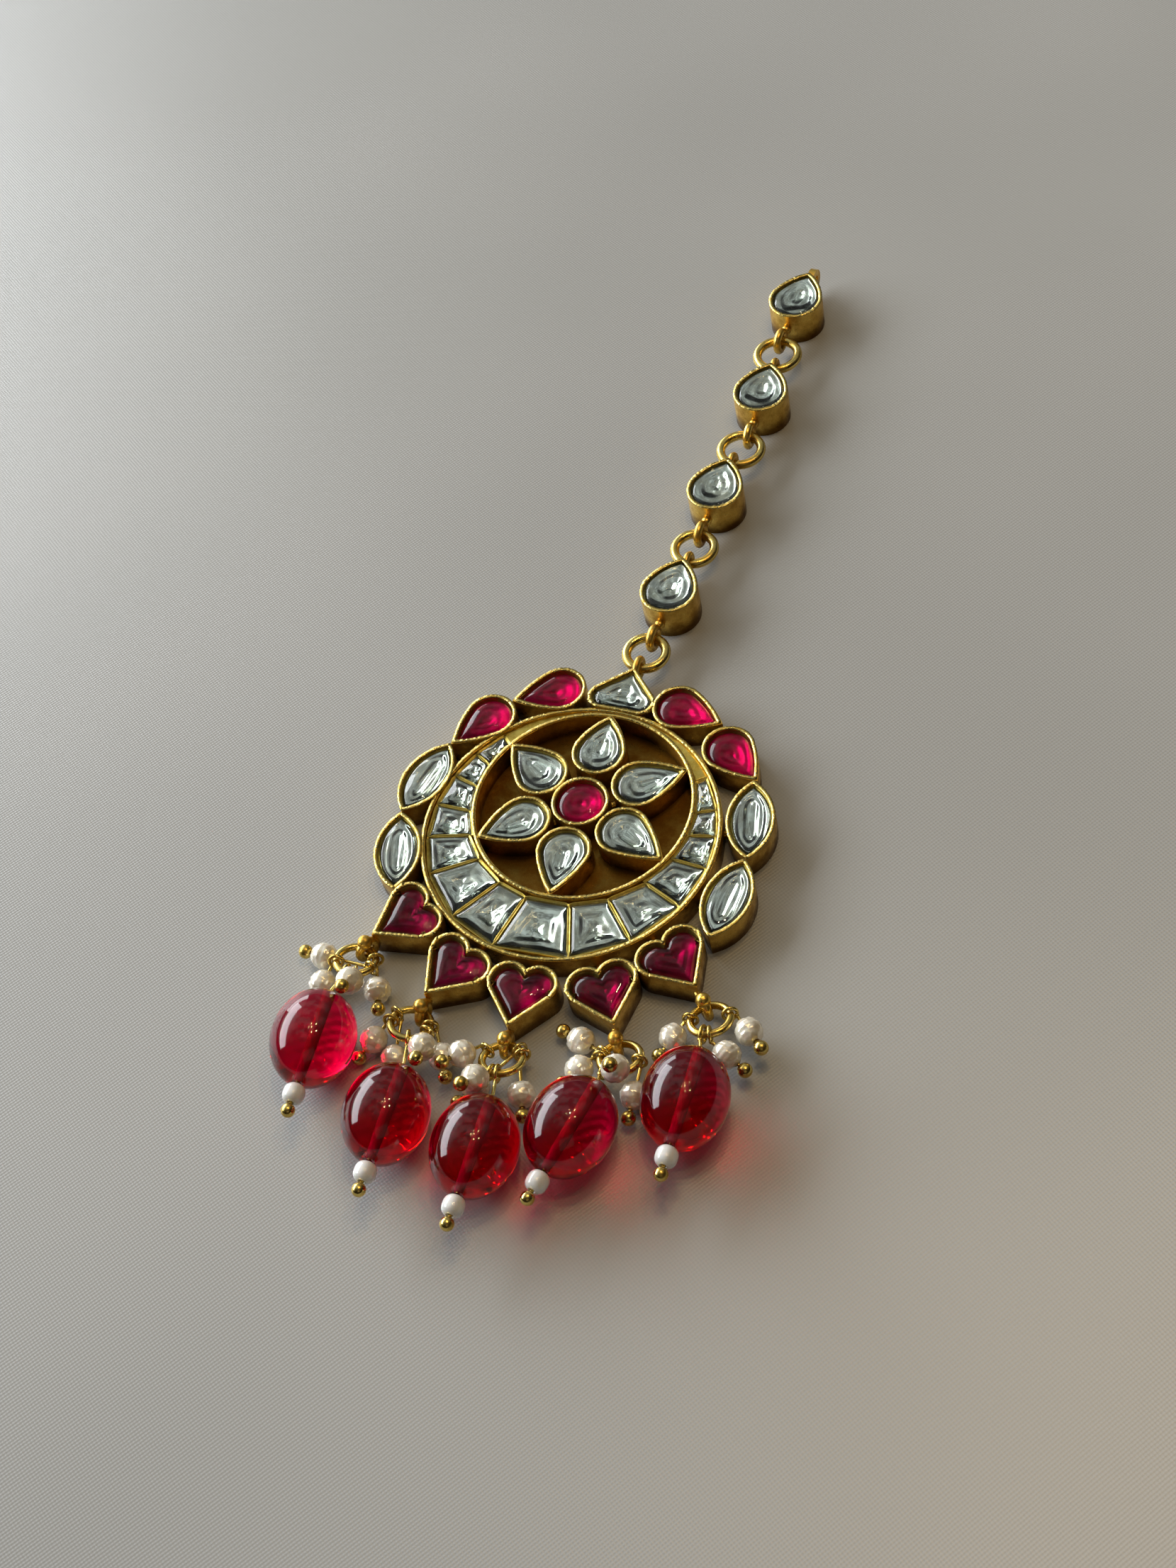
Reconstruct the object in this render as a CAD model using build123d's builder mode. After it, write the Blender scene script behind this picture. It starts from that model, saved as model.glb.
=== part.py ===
"""Maang tikka: a hair ornament of soldered gold collets, foil-backed stones, glass beads and pearls.

Millimetres. The piece lies on its back: +Z is up, out of the stones' faces, +Y runs along the chain
towards the hair end, and the origin is the centre of the outer ring in the plane of its back.
"""
from build123d import *
from collections import namedtuple
from math import asin, atan2, cos, degrees, hypot, pi, radians, sin, sqrt
import os

# ---- medallion: walls, floors and the two rings ----
RING_RADIUS = 17.0            # outside of the outer ring
INNER_RADIUS = 12.75          # outside of the inner ring
INNER_CENTRE = (0.15, 3.7)
RING_WALL = 0.5
RING_HEIGHT = 3.2
BACK_PLATE = 0.5              # closes the back of the inner ring
COLLET_WALL = 0.42
COLLET_FLOOR = 2.2            # top of the filling under each stone
FOIL_MARGIN = 0.28            # bare foil between a wall and its stone
STONE_GAP = 0.03              # play under a stone
PLAY = 0.03                   # play between a bead and its neighbour on a pin

# ---- medallion: petals round the centre ----
PETAL_RADIUS = 3.12
PETAL_HEIGHT = 3.3
PETAL_TIP_RADIUS = 12.45      # tips end inside the inner ring's wall
CENTRE_RADIUS = 3.3
CENTRE_HEIGHT = 3.4
CENTRE_PLACE = (-0.15, 3.8)
PETAL_BEVEL = 0.55
CABOCHON_RISE = 1.5
CABOCHON_ROUND = 1.3
HEART_MARGIN = 0.4            # bare foil round the hearts

# ---- medallion: border settings ----
BORDER_HEIGHT = 3.35
HEART_HEIGHT = 3.45
PEAR_RADIUS = 3.05
PEAR_REACH = 5.8
MARQUISE_LENGTH = 10.4
MARQUISE_WIDTH = 5.5
HEART_LOBE = 2.3
HEART_OFFSET = 1.65
HEART_REACH = 5.5
HEART_FILL = 0.4              # floor of the notch behind the lobes' centres, over a lobe's radius
CROWN_LOBE = 1.75
CROWN_OFFSET = 2.3
CROWN_REACH = 4.75

# ---- crescent of bar stones between the rings ----
CRESCENT_FLOOR = 2.1
CRESCENT_TOP = 3.15
CRESCENT_BEVEL = 0.4
CRESCENT_OUTER = 16.15        # outer corners of the bar stones
CRESCENT_INNER_MARGIN = 0.55
BAR_GAP = 0.32

# ---- chain ----
LINK_RADIUS = 3.47
LINK_REACH = 5.25
LINK_HEIGHT = 4.4
LINK_FLOOR = 3.0
LINK_WALL = 0.45
LINK_STONE_INSET = 0.6        # link outline to its stone
TIP_EYE = 6.05                # link centre to the eye at its tip
ROUND_EYE = 5.9               # link centre to the eye at its round end
EYE_HEIGHT = 2.4
EYE_RADIUS = 1.1
EYE_WIRE = 0.42
CHAIN_WIRE = 0.57             # radius of the jump rings' wire
ROUND_EYE_RADIUS = 1.2
ROUND_EYE_WIRE = 0.5
LINK_NECK = 0.42
LINK_GRAIN = 0.62
LINK_BEVEL = 0.6
END_EYE_OUTER = 1.45
END_EYE_BORE = 0.65
END_EYE_WIDTH = 0.9

# ---- pendants ----
SOLDER_HEIGHT = 0.8           # bars that join settings, under their floors
SOLDER_BAR = 0.5
BAIL_HEIGHT = 1.9
BAIL_RADIUS = 1.1
BAIL_WIRE = 0.5
BAIL_NECK = 0.4
BAIL_GRAIN = 0.82
DROP_RING_RADIUS = 2.15
DROP_RING_WIRE = 0.42
DROP_RING_TILT = 18           # degrees, far side up
BEAD_RADIUS = 4.55
BEAD_HALF = 5.65
BEAD_TILT = 4                 # degrees, outer end up
BEAD_LIFT = 4.57
BEAD_HOLE = 0.42
BEAD_LOOP = 0.85
PIN_WIRE = 0.2
NECK_TURN = 1.5               # closing turn of wire at a loop's neck, over the wire's radius
NECK_TURN_SHIFT = 0.05
HEAD_REACH = 0.15             # where a bead's pin bends, outside its hole
HEAD_TURN = 0.24
END_BEAD_RADIUS = 1.2
GOLD_BALL = 0.76
PEARL_RADIUS = 1.65
PEARL_HOLE = 0.29
PEARL_LOOP = 0.76
PEARL_WIRE = 0.19
PEARL_BALL = 0.8

Petal = namedtuple("Petal", "name x y tip_angle")
PETALS = [
    Petal("top", -0.5, 10.85, 94.5),
    Petal("upper_right", 5.45, 7.7, 35.6),
    Petal("lower_right", 5.85, 1.25, -24.1),
    Petal("bottom", 0.3, -2.8, -86.8),
    Petal("lower_left", -5.6, 0.05, 215.2),
    Petal("upper_left", -5.95, 6.6, 151.9),
]

Setting = namedtuple("Setting", "name shape x y turn")
BORDER = [
    Setting("crown", "crown", -0.5, 18.6, 90),
    Setting("pear_upper_right", "pear", 6.4, 18.95, -11),
    Setting("pear_right", "pear", 13.8, 14.7, -38),
    Setting("marquise_upper_right", "marquise", 19.2, 6.0, -76.5),
    Setting("marquise_lower_right", "marquise", 19.85, -4.3, -94),
    Setting("heart_1", "heart", 15.95, -12.2, -39),
    Setting("heart_2", "heart", 10.2, -17.6, -56),
    Setting("heart_3", "heart", 2.0, -19.8, -86),
    Setting("heart_4", "heart", -5.7, -18.85, -113),
    Setting("heart_5", "heart", -12.9, -14.3, -131),
    Setting("marquise_lower_left", "marquise", -18.1, -7.4, -71.5),
    Setting("marquise_upper_left", "marquise", -18.85, 2.8, -101),
    Setting("pear_left", "pear", -14.75, 12.8, -122),
    Setting("pear_upper_left", "pear", -8.05, 18.4, 210.5),
]

HEARTS = [setting for setting in BORDER if setting.shape == "heart"]

# angles, round the outer ring, of the lines that part the bar stones
BAR_ANGLES = [
    40, 24, 11.5, -3.5, -22.8, -46, -70.3, -101.1, -123, -146, -163.7, -179.5, -194.5, -207.5, -221,
]

Link = namedtuple("Link", "x y turn")
LINKS = [Link(-0.05, 34.6, -1.5), Link(0.2, 51.4, -1), Link(0.7, 68.4, 2), Link(0.1, 85.5, -4)]
CROWN_EYE = (-0.4, 24.0)

Pendant = namedtuple("Pendant", "bail_x bail_y ring_turn bead_x bead_y bead_turn hook")
PENDANTS = [
    Pendant(21.3, -16.9, -53, 23.5, -28.7, -86.5, -89),
    Pendant(13.9, -23.5, -59, 13.35, -34.8, -98, -112),
    Pendant(2.55, -26.6, -79, 4.65, -39.5, -85.5, -79),
    Pendant(-7.7, -25.3, -105, -5.7, -38.6, -84, -72),
    Pendant(-16.9, -19.5, -101, -16.9, -32.5, -82, -94),
]

# a pearl on its own pin: pendant it hangs on, angle of its loop round that pendant's ring, pearl's centre
Dangle = namedtuple("Dangle", "pendant hook x y z")
DANGLES = [
    Dangle(1, -173, 19.19, -21.09, 1.71),
    Dangle(1, -69, 25.47, -21.98, 2.56),
    Dangle(1, 33, 26.84, -18.80, 2.51),
    Dangle(2, 168, 9.95, -24.00, 1.71),
    Dangle(2, -174, 11.23, -27.57, 2.56),
    Dangle(2, -65, 15.97, -28.08, 5.98),
    Dangle(2, 2, 17.48, -28.52, 1.71),
    Dangle(3, 159, -1.00, -29.65, 3.74),
    Dangle(3, 56, 1.12, -32.00, 1.71),
    Dangle(3, -98, 2.04, -32.65, 5.25),
    Dangle(3, 34, 6.10, -31.55, 1.71),
    Dangle(4, -172, -11.77, -29.66, 1.71),
    Dangle(4, -204, -8.66, -31.19, 1.71),
    Dangle(4, -11, -4.93, -30.50, 4.87),
    Dangle(4, 15, -3.81, -29.65, 1.71),
    Dangle(5, -12, -21.44, -21.49, 1.71),
    Dangle(5, -155, -20.15, -24.71, 1.71),
    Dangle(5, -62, -15.66, -25.26, 5.16),
    Dangle(5, 26, -13.83, -23.96, 1.71),
]


def polar(radius, angle):
    """A plan offset of a length at an angle in degrees."""
    return Vector(radius * cos(radians(angle)), radius * sin(radians(angle)), 0)


def pear(radius, reach, inset=0.0):
    """Teardrop face: round end centred at the origin, tip on +X at reach, drawn in by inset."""
    half_tip = 1.12 * asin(radius / reach)
    radius, reach = radius - inset, reach - inset / sin(half_tip)
    shoulder = radians(70)
    start = (radius * cos(shoulder), radius * sin(shoulder))
    with BuildSketch() as face:
        with BuildLine():
            TangentArc(start, (reach, 0), tangent=(sin(shoulder), -cos(shoulder)))
            mirror(about=Plane.XZ)
            ThreePointArc(start, (-radius, 0), (start[0], -start[1]))
        make_face()
    return face.sketch


def marquise(length, width, inset=0.0):
    """Boat-shaped face, centred, its two tips on the X axis, drawn in by inset."""
    half_tip = 2 * atan2(width, length)
    half_length, half_width = length / 2 - inset / sin(half_tip), width / 2 - inset
    with BuildSketch() as face:
        with BuildLine():
            ThreePointArc((-half_length, 0), (0, half_width), (half_length, 0))
            mirror(about=Plane.XZ)
        make_face()
    return face.sketch


def lobed(lobe, spread, reach, inset=0.0):
    """Heart or rounded triangle: two lobes by the origin, tip on +X at reach, drawn in by inset."""
    half_tip = atan2(spread, reach) + asin(lobe / hypot(reach, spread))
    lobe, reach = lobe - inset, reach - inset / sin(half_tip)
    touch_angle = pi / 2 - half_tip
    touch = (lobe * cos(touch_angle), spread + lobe * sin(touch_angle))
    back = -lobe if spread > lobe + inset else -HEART_FILL * lobe
    half = [(reach, 0), touch, (back, spread)]
    other_half = [(x, -y) for x, y in reversed(half[1:])]
    with BuildSketch() as face:
        with Locations((0, spread), (0, -spread)):
            Circle(lobe)
        Polygon(*half, *other_half, align=None)
    return face.sketch


def outline(shape, inset=0.0):
    """The outline of a border setting, drawn in by inset."""
    if shape == "pear":
        return pear(PEAR_RADIUS, PEAR_REACH, inset)
    if shape == "marquise":
        return marquise(MARQUISE_LENGTH, MARQUISE_WIDTH, inset)
    if shape == "heart":
        return lobed(HEART_LOBE, HEART_OFFSET, HEART_REACH, inset)
    return lobed(CROWN_LOBE, CROWN_OFFSET, CROWN_REACH, inset)


def placed(face, x, y, turn, height=0.0):
    """A face turned in plan and moved to a place and height."""
    return Pos(x, y, height) * Rot(0, 0, turn) * face


def petal_face(petal, inset=0.0, height=0.0):
    """A petal's face in its place, drawn in by inset, its tip on the inner ring."""
    tip = Vector(*INNER_CENTRE) + polar(PETAL_TIP_RADIUS, petal.tip_angle)
    along = tip - Vector(petal.x, petal.y)
    face = pear(PETAL_RADIUS, along.length, inset)
    return placed(face, petal.x, petal.y, degrees(atan2(along.Y, along.X)), height)


def setting_face(setting, inset=0.0, height=0.0):
    """A border setting's face in its place, drawn in by inset."""
    return placed(outline(setting.shape, inset), setting.x, setting.y, setting.turn, height)


def link_face(link, inset=0.0, height=0.0):
    """A chain link's face in its place, drawn in by inset, its tip towards the hair end."""
    return placed(pear(LINK_RADIUS, LINK_REACH, inset), link.x, link.y, link.turn + 90, height)


def upright(centre, angle):
    """A vertical plane through a point whose X runs along a plan angle."""
    return Plane(centre, x_dir=polar(1, angle), z_dir=polar(1, angle + 90))


def rod(start, end, radius):
    """Adds a round rod between two points to the part being built."""
    with BuildSketch(Plane(start, z_dir=end - start)) as section:
        Circle(radius)
    extrude(section.sketch, amount=(end - start).length)


def flat_stone(face_at, bottom, thickness, bevel):
    """Adds a flat-backed stone with a bevelled upper edge; face_at gives its face, drawn in by an inset."""
    with BuildSketch(Plane.XY.offset(bottom)) as base:
        add(face_at(0))
    extrude(base.sketch, amount=thickness - bevel)
    with BuildSketch(Plane.XY.offset(bottom + thickness - bevel)) as girdle:
        add(face_at(0))
    with BuildSketch(Plane.XY.offset(bottom + thickness)) as table:
        add(face_at(bevel))
    loft([girdle.sketch.face(), table.sketch.face()])


def inner_ring_reach(angle, margin):
    """Distance from the origin to a line just outside the inner ring, along an angle."""
    direction = polar(1, angle)
    centre = Vector(*INNER_CENTRE)
    along = centre.dot(direction)
    return along + sqrt((INNER_RADIUS + margin) ** 2 - centre.length ** 2 + along ** 2)


def bar_face(start, end, inset=0.0):
    """The four-sided face of one bar stone between two angles round the ring, drawn in by inset."""
    low, high = min(start, end), max(start, end)
    wide_part = -160 < (low + high) / 2 < -20
    margin = inset + (CRESCENT_INNER_MARGIN if wide_part else CRESCENT_INNER_MARGIN / 2)
    outer = CRESCENT_OUTER - inset
    side = BAR_GAP / 2 + inset
    corners = [polar(outer, low + degrees(side / outer)), polar(outer, high - degrees(side / outer))]
    for angle, slack in ((high, -side), (low, side)):
        reach = inner_ring_reach(angle, margin)
        corners.append(polar(reach, angle + degrees(slack / reach)))
    with BuildSketch() as face:
        Polygon(*[(corner.X, corner.Y) for corner in corners], align=None)
    return face.sketch


def drop_ring_frame(pendant):
    """Centre, far-side direction and cross direction of a pendant's tilted jump ring."""
    bail = Vector(pendant.bail_x, pendant.bail_y, BAIL_HEIGHT)
    level = polar(cos(radians(DROP_RING_TILT)), pendant.ring_turn)
    far = level + Vector(0, 0, sin(radians(DROP_RING_TILT)))
    across = polar(1, pendant.ring_turn + 90)
    return bail + far * DROP_RING_RADIUS, far, across


def hook_point(pendant, angle):
    """Where a loop sits on a pendant's ring, and the ring's direction there."""
    centre, far, across = drop_ring_frame(pendant)
    swing = radians(angle - pendant.ring_turn)
    point = centre + (far * cos(swing) + across * sin(swing)) * DROP_RING_RADIUS
    return point, across * cos(swing) - far * sin(swing)


def neck_point(hook, ring_direction, target, radius):
    """Where a loop threaded by a ring turns into its straight pin, on the side of a target."""
    toward = target - hook
    return hook + (toward - ring_direction * toward.dot(ring_direction)).normalized() * radius


def looped_pin(pendant, angle, head, loop_radius, wire, extra=0.0):
    """Adds a wire loop threaded by a pendant's ring and its straight wire to a head and a length past it."""
    hook, ring_direction = hook_point(pendant, angle)
    neck = neck_point(hook, ring_direction, head, loop_radius)
    along = (head - neck).normalized()
    with Locations(Plane(hook, x_dir=hook - neck, z_dir=ring_direction)):
        Torus(loop_radius, wire)
    with Locations(Plane(neck + along * NECK_TURN_SHIFT, z_dir=along)):
        Sphere(wire * NECK_TURN)
    rod(neck + along * NECK_TURN_SHIFT, head + along * extra, wire)


def dangle_line(dangle):
    """The neck of a pearl's pin and the centre of its pearl."""
    hook, ring_direction = hook_point(PENDANTS[dangle.pendant - 1], dangle.hook)
    place = Vector(dangle.x, dangle.y, dangle.z)
    return neck_point(hook, ring_direction, place, PEARL_LOOP), place


def bead_frame(pendant):
    """Centre and outward direction of a pendant's glass bead."""
    level = polar(cos(radians(BEAD_TILT)), pendant.bead_turn)
    return Vector(pendant.bead_x, pendant.bead_y, BEAD_LIFT), level + Vector(0, 0, sin(radians(BEAD_TILT)))


def save(builder, name):
    """Labels a finished piece and writes it."""
    builder.part.label = name
    export_step(builder.part, f"parts/{name}.step")


os.makedirs("parts", exist_ok=True)
UP = Vector(0, 0, 1)
ON_BASE = (Align.CENTER, Align.CENTER, Align.MIN)

# ---- medallion frame: rings, collets, eye and bails, soldered into one ----
with BuildPart() as medallion_frame:
    with BuildSketch():
        Circle(RING_RADIUS)
    extrude(amount=RING_HEIGHT)
    with BuildSketch(Plane.XY.offset(CRESCENT_FLOOR)):
        Circle(RING_RADIUS - RING_WALL)
        with Locations(INNER_CENTRE):
            Circle(INNER_RADIUS, mode=Mode.SUBTRACT)
    extrude(amount=RING_HEIGHT, mode=Mode.SUBTRACT)
    with BuildSketch(Plane.XY.offset(BACK_PLATE)):
        with Locations(INNER_CENTRE):
            Circle(INNER_RADIUS - RING_WALL)
    extrude(amount=RING_HEIGHT, mode=Mode.SUBTRACT)

    for petal in PETALS:
        extrude(petal_face(petal), amount=PETAL_HEIGHT)
    with Locations((*CENTRE_PLACE, 0)):
        Cylinder(CENTRE_RADIUS, CENTRE_HEIGHT, align=ON_BASE)
    for setting in BORDER:
        extrude(setting_face(setting), amount=HEART_HEIGHT if setting.shape == "heart" else BORDER_HEIGHT)

    for petal in PETALS:
        extrude(petal_face(petal, COLLET_WALL, COLLET_FLOOR), amount=PETAL_HEIGHT, mode=Mode.SUBTRACT)
    with Locations((*CENTRE_PLACE, COLLET_FLOOR)):
        Cylinder(CENTRE_RADIUS - COLLET_WALL, CENTRE_HEIGHT, align=ON_BASE, mode=Mode.SUBTRACT)
    for setting in BORDER:
        extrude(setting_face(setting, COLLET_WALL, COLLET_FLOOR), amount=HEART_HEIGHT, mode=Mode.SUBTRACT)

    for petal in PETALS:
        rod(Vector(*CENTRE_PLACE, SOLDER_HEIGHT), Vector(petal.x, petal.y, SOLDER_HEIGHT), SOLDER_BAR)
    for setting in BORDER:
        inward = Vector(setting.x, setting.y).normalized() * (RING_RADIUS - RING_WALL)
        lift = UP * SOLDER_HEIGHT
        rod(inward + lift, Vector(setting.x, setting.y) + lift, SOLDER_BAR)

    with Locations(upright(Vector(*CROWN_EYE, EYE_HEIGHT), 90)):
        Torus(EYE_RADIUS, EYE_WIRE)
    for pendant, heart in zip(PENDANTS, HEARTS):
        bail = Vector(pendant.bail_x, pendant.bail_y, BAIL_HEIGHT)
        tip = Vector(heart.x, heart.y, BAIL_HEIGHT) + polar(HEART_REACH - 0.4, heart.turn)
        toward = (bail - tip).normalized()
        rod(tip, bail - toward * BAIL_RADIUS, BAIL_NECK)
        loop_axis = toward.cross(UP)
        with Locations(Plane(bail, x_dir=toward * -1, z_dir=loop_axis)):
            Torus(BAIL_RADIUS, BAIL_WIRE)
        with Locations(Plane(bail + UP * (BAIL_RADIUS + BAIL_GRAIN / 3), x_dir=UP, z_dir=loop_axis)):
            Sphere(BAIL_GRAIN)
save(medallion_frame, "medallion_frame")

# ---- stones of the medallion ----
for petal in PETALS:
    with BuildPart() as petal_stone:
        flat_stone(
            lambda inset: petal_face(petal, COLLET_WALL + FOIL_MARGIN + inset),
            COLLET_FLOOR + STONE_GAP, PETAL_HEIGHT - COLLET_FLOOR, PETAL_BEVEL,
        )
    save(petal_stone, f"petal_stone_{petal.name}")

with BuildPart() as centre_stone:
    with Locations((*CENTRE_PLACE, COLLET_FLOOR + STONE_GAP)):
        Cylinder(CENTRE_RADIUS - COLLET_WALL - FOIL_MARGIN, CABOCHON_RISE, align=ON_BASE)
    fillet(centre_stone.edges().sort_by(Axis.Z)[-1], CABOCHON_ROUND)
save(centre_stone, "centre_stone")

for setting in BORDER:
    with BuildPart() as border_stone:
        margin = HEART_MARGIN if setting.shape == "heart" else FOIL_MARGIN
        flat_stone(
            lambda inset: setting_face(setting, COLLET_WALL + margin + inset),
            COLLET_FLOOR + STONE_GAP, BORDER_HEIGHT - COLLET_FLOOR, PETAL_BEVEL,
        )
    save(border_stone, f"{setting.name}_stone")

with BuildPart() as crescent_stones:
    for start, end in zip(BAR_ANGLES, BAR_ANGLES[1:]):
        flat_stone(
            lambda inset: bar_face(start, end, inset),
            CRESCENT_FLOOR + STONE_GAP, CRESCENT_TOP - CRESCENT_FLOOR, CRESCENT_BEVEL,
        )
save(crescent_stones, "crescent_stones")

# ---- chain: four collet links, their stones and the jump rings between them ----
previous_eye = Vector(*CROWN_EYE, EYE_HEIGHT)
for number, link in enumerate(LINKS, start=1):
    centre = Vector(link.x, link.y, 0)
    along = link.turn + 90
    tip_eye = centre + polar(TIP_EYE, along) + UP * EYE_HEIGHT
    round_eye = centre - polar(ROUND_EYE, along) + UP * EYE_HEIGHT
    grain = centre - polar(LINK_RADIUS + LINK_GRAIN / 2, along) + UP * EYE_HEIGHT
    with BuildPart() as chain_link:
        extrude(link_face(link), amount=LINK_HEIGHT)
        extrude(link_face(link, LINK_WALL, LINK_FLOOR), amount=LINK_HEIGHT, mode=Mode.SUBTRACT)
        rod(centre - polar(LINK_RADIUS - LINK_WALL, along) + UP * EYE_HEIGHT,
            round_eye + polar(EYE_RADIUS, along), LINK_NECK)
        with Locations(grain):
            Sphere(LINK_GRAIN)
        with Locations(upright(round_eye, along)):
            Torus(ROUND_EYE_RADIUS, ROUND_EYE_WIRE)
        if number < len(LINKS):
            with Locations(upright(tip_eye, along)):
                Torus(EYE_RADIUS, EYE_WIRE)
        else:
            with Locations(upright(tip_eye, along)):
                Cylinder(END_EYE_OUTER, END_EYE_WIDTH)
                Cylinder(END_EYE_BORE, END_EYE_WIDTH, mode=Mode.SUBTRACT)
    save(chain_link, f"chain_link_{number}")
    with BuildPart() as link_stone:
        flat_stone(
            lambda inset: link_face(link, LINK_STONE_INSET + inset),
            LINK_FLOOR + STONE_GAP, LINK_HEIGHT - LINK_FLOOR - STONE_GAP, LINK_BEVEL,
        )
    save(link_stone, f"chain_stone_{number}")
    with BuildPart() as chain_ring:
        with Locations((previous_eye + round_eye) * 0.5):
            Torus((round_eye - previous_eye).length / 2, CHAIN_WIRE)
    save(chain_ring, f"chain_ring_{number}")
    previous_eye = tip_eye

# ---- pendants: jump ring, glass bead on its pin, and pearls on theirs ----
with BuildPart() as end_beads:
    for pendant in PENDANTS:
        centre, out = bead_frame(pendant)
        place = centre + out * (BEAD_HALF + END_BEAD_RADIUS + PLAY)
        with Locations(Plane(place, z_dir=out)):
            Sphere(END_BEAD_RADIUS)
            Cylinder(BEAD_HOLE, 3 * END_BEAD_RADIUS, mode=Mode.SUBTRACT)
save(end_beads, "end_beads")

for number, pendant in enumerate(PENDANTS, start=1):
    with BuildPart() as drop_ring:
        ring_centre, far, across = drop_ring_frame(pendant)
        with Locations(Plane(ring_centre, x_dir=far, z_dir=far.cross(across))):
            Torus(DROP_RING_RADIUS, DROP_RING_WIRE)
    save(drop_ring, f"drop_ring_{number}")

    centre, out = bead_frame(pendant)
    with BuildPart() as glass_bead:
        with BuildSketch(Plane(centre, x_dir=out, z_dir=out.cross(UP))) as section:
            Ellipse(BEAD_HALF, BEAD_RADIUS)
            Rectangle(2 * BEAD_HALF, BEAD_HOLE + BEAD_RADIUS, align=(Align.CENTER, Align.MAX),
                      mode=Mode.SUBTRACT)
            with Locations((0, BEAD_HOLE / 2)):
                Rectangle(2 * BEAD_HALF, BEAD_HOLE, mode=Mode.SUBTRACT)
        revolve(axis=Axis(centre, out))
    save(glass_bead, f"glass_bead_{number}")

    head = centre - out * (BEAD_HALF + HEAD_REACH)
    ball = centre + out * (BEAD_HALF + 2 * END_BEAD_RADIUS + GOLD_BALL + 2 * PLAY)
    with BuildPart() as bead_pin:
        looped_pin(pendant, pendant.hook, head, BEAD_LOOP, PIN_WIRE)
        with Locations(Plane(head, z_dir=out)):
            Sphere(HEAD_TURN)
        rod(head, ball, PIN_WIRE)
        with Locations(Plane(ball, z_dir=out)):
            Sphere(GOLD_BALL)
    save(bead_pin, f"bead_pin_{number}")

    with BuildPart() as pearls:
        for dangle in DANGLES:
            if dangle.pendant == number:
                neck, place = dangle_line(dangle)
                with Locations(Plane(place, z_dir=place - neck)):
                    Sphere(PEARL_RADIUS)
                    Cylinder(PEARL_HOLE, 3 * PEARL_RADIUS, mode=Mode.SUBTRACT)
    save(pearls, f"pearls_{number}")

with BuildPart() as pearl_pins:
    for dangle in DANGLES:
        neck, place = dangle_line(dangle)
        along = (place - neck).normalized()
        beyond = PEARL_RADIUS + PEARL_BALL + PLAY
        looped_pin(PENDANTS[dangle.pendant - 1], dangle.hook, place, PEARL_LOOP, PEARL_WIRE, beyond)
        with Locations(Plane(place + along * beyond, z_dir=along)):
            Sphere(PEARL_BALL)
save(pearl_pins, "pearl_pins")
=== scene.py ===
"""Maang tikka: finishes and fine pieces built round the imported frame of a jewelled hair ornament."""

import logging
import math
from dataclasses import dataclass, field
from enum import Enum

import bmesh
import bpy
import numpy as np
from mathutils import Matrix, Vector, noise

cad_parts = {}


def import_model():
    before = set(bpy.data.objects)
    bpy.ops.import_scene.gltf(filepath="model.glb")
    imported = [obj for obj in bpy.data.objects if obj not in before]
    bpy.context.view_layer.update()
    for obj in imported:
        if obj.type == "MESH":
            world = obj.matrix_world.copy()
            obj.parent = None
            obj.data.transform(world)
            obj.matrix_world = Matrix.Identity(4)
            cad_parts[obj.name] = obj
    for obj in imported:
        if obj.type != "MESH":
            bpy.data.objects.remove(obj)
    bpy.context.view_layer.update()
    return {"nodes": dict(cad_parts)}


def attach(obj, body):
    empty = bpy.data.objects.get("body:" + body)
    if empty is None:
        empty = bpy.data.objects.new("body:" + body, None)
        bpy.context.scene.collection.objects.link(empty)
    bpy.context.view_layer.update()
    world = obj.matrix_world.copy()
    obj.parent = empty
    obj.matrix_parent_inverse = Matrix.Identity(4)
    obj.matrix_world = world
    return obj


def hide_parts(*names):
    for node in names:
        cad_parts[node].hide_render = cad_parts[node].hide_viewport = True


LOG = logging.getLogger("maang_tikka")
MM = 0.001
BODY = "root"
WELD = 2e-6  # points of a CAD node closer than this are one
FLAT = 5e-6  # a face this near the lowest point belongs to the flat bottom
OVERLAP = 0.14 * MM  # how far a stone's edge goes out under the foil that holds it
BITE = 0.03 * MM  # how far packed foil goes into the wall beside it
SINK = 0.1 * MM  # how far under the top of a collet's wall its foil ends
Socket = bpy.types.NodeSocket
Colour = tuple[float, float, float, float]
Place = tuple[float, float, float]
# Tint multiplied onto metal low down: painted shade on the openings' floors and at the feet of walls.
PAINTED_SHADE_TINT: Colour = (0.16, 0.115, 0.075, 1)


# ---------------------------------------------------------------- node trees


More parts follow.
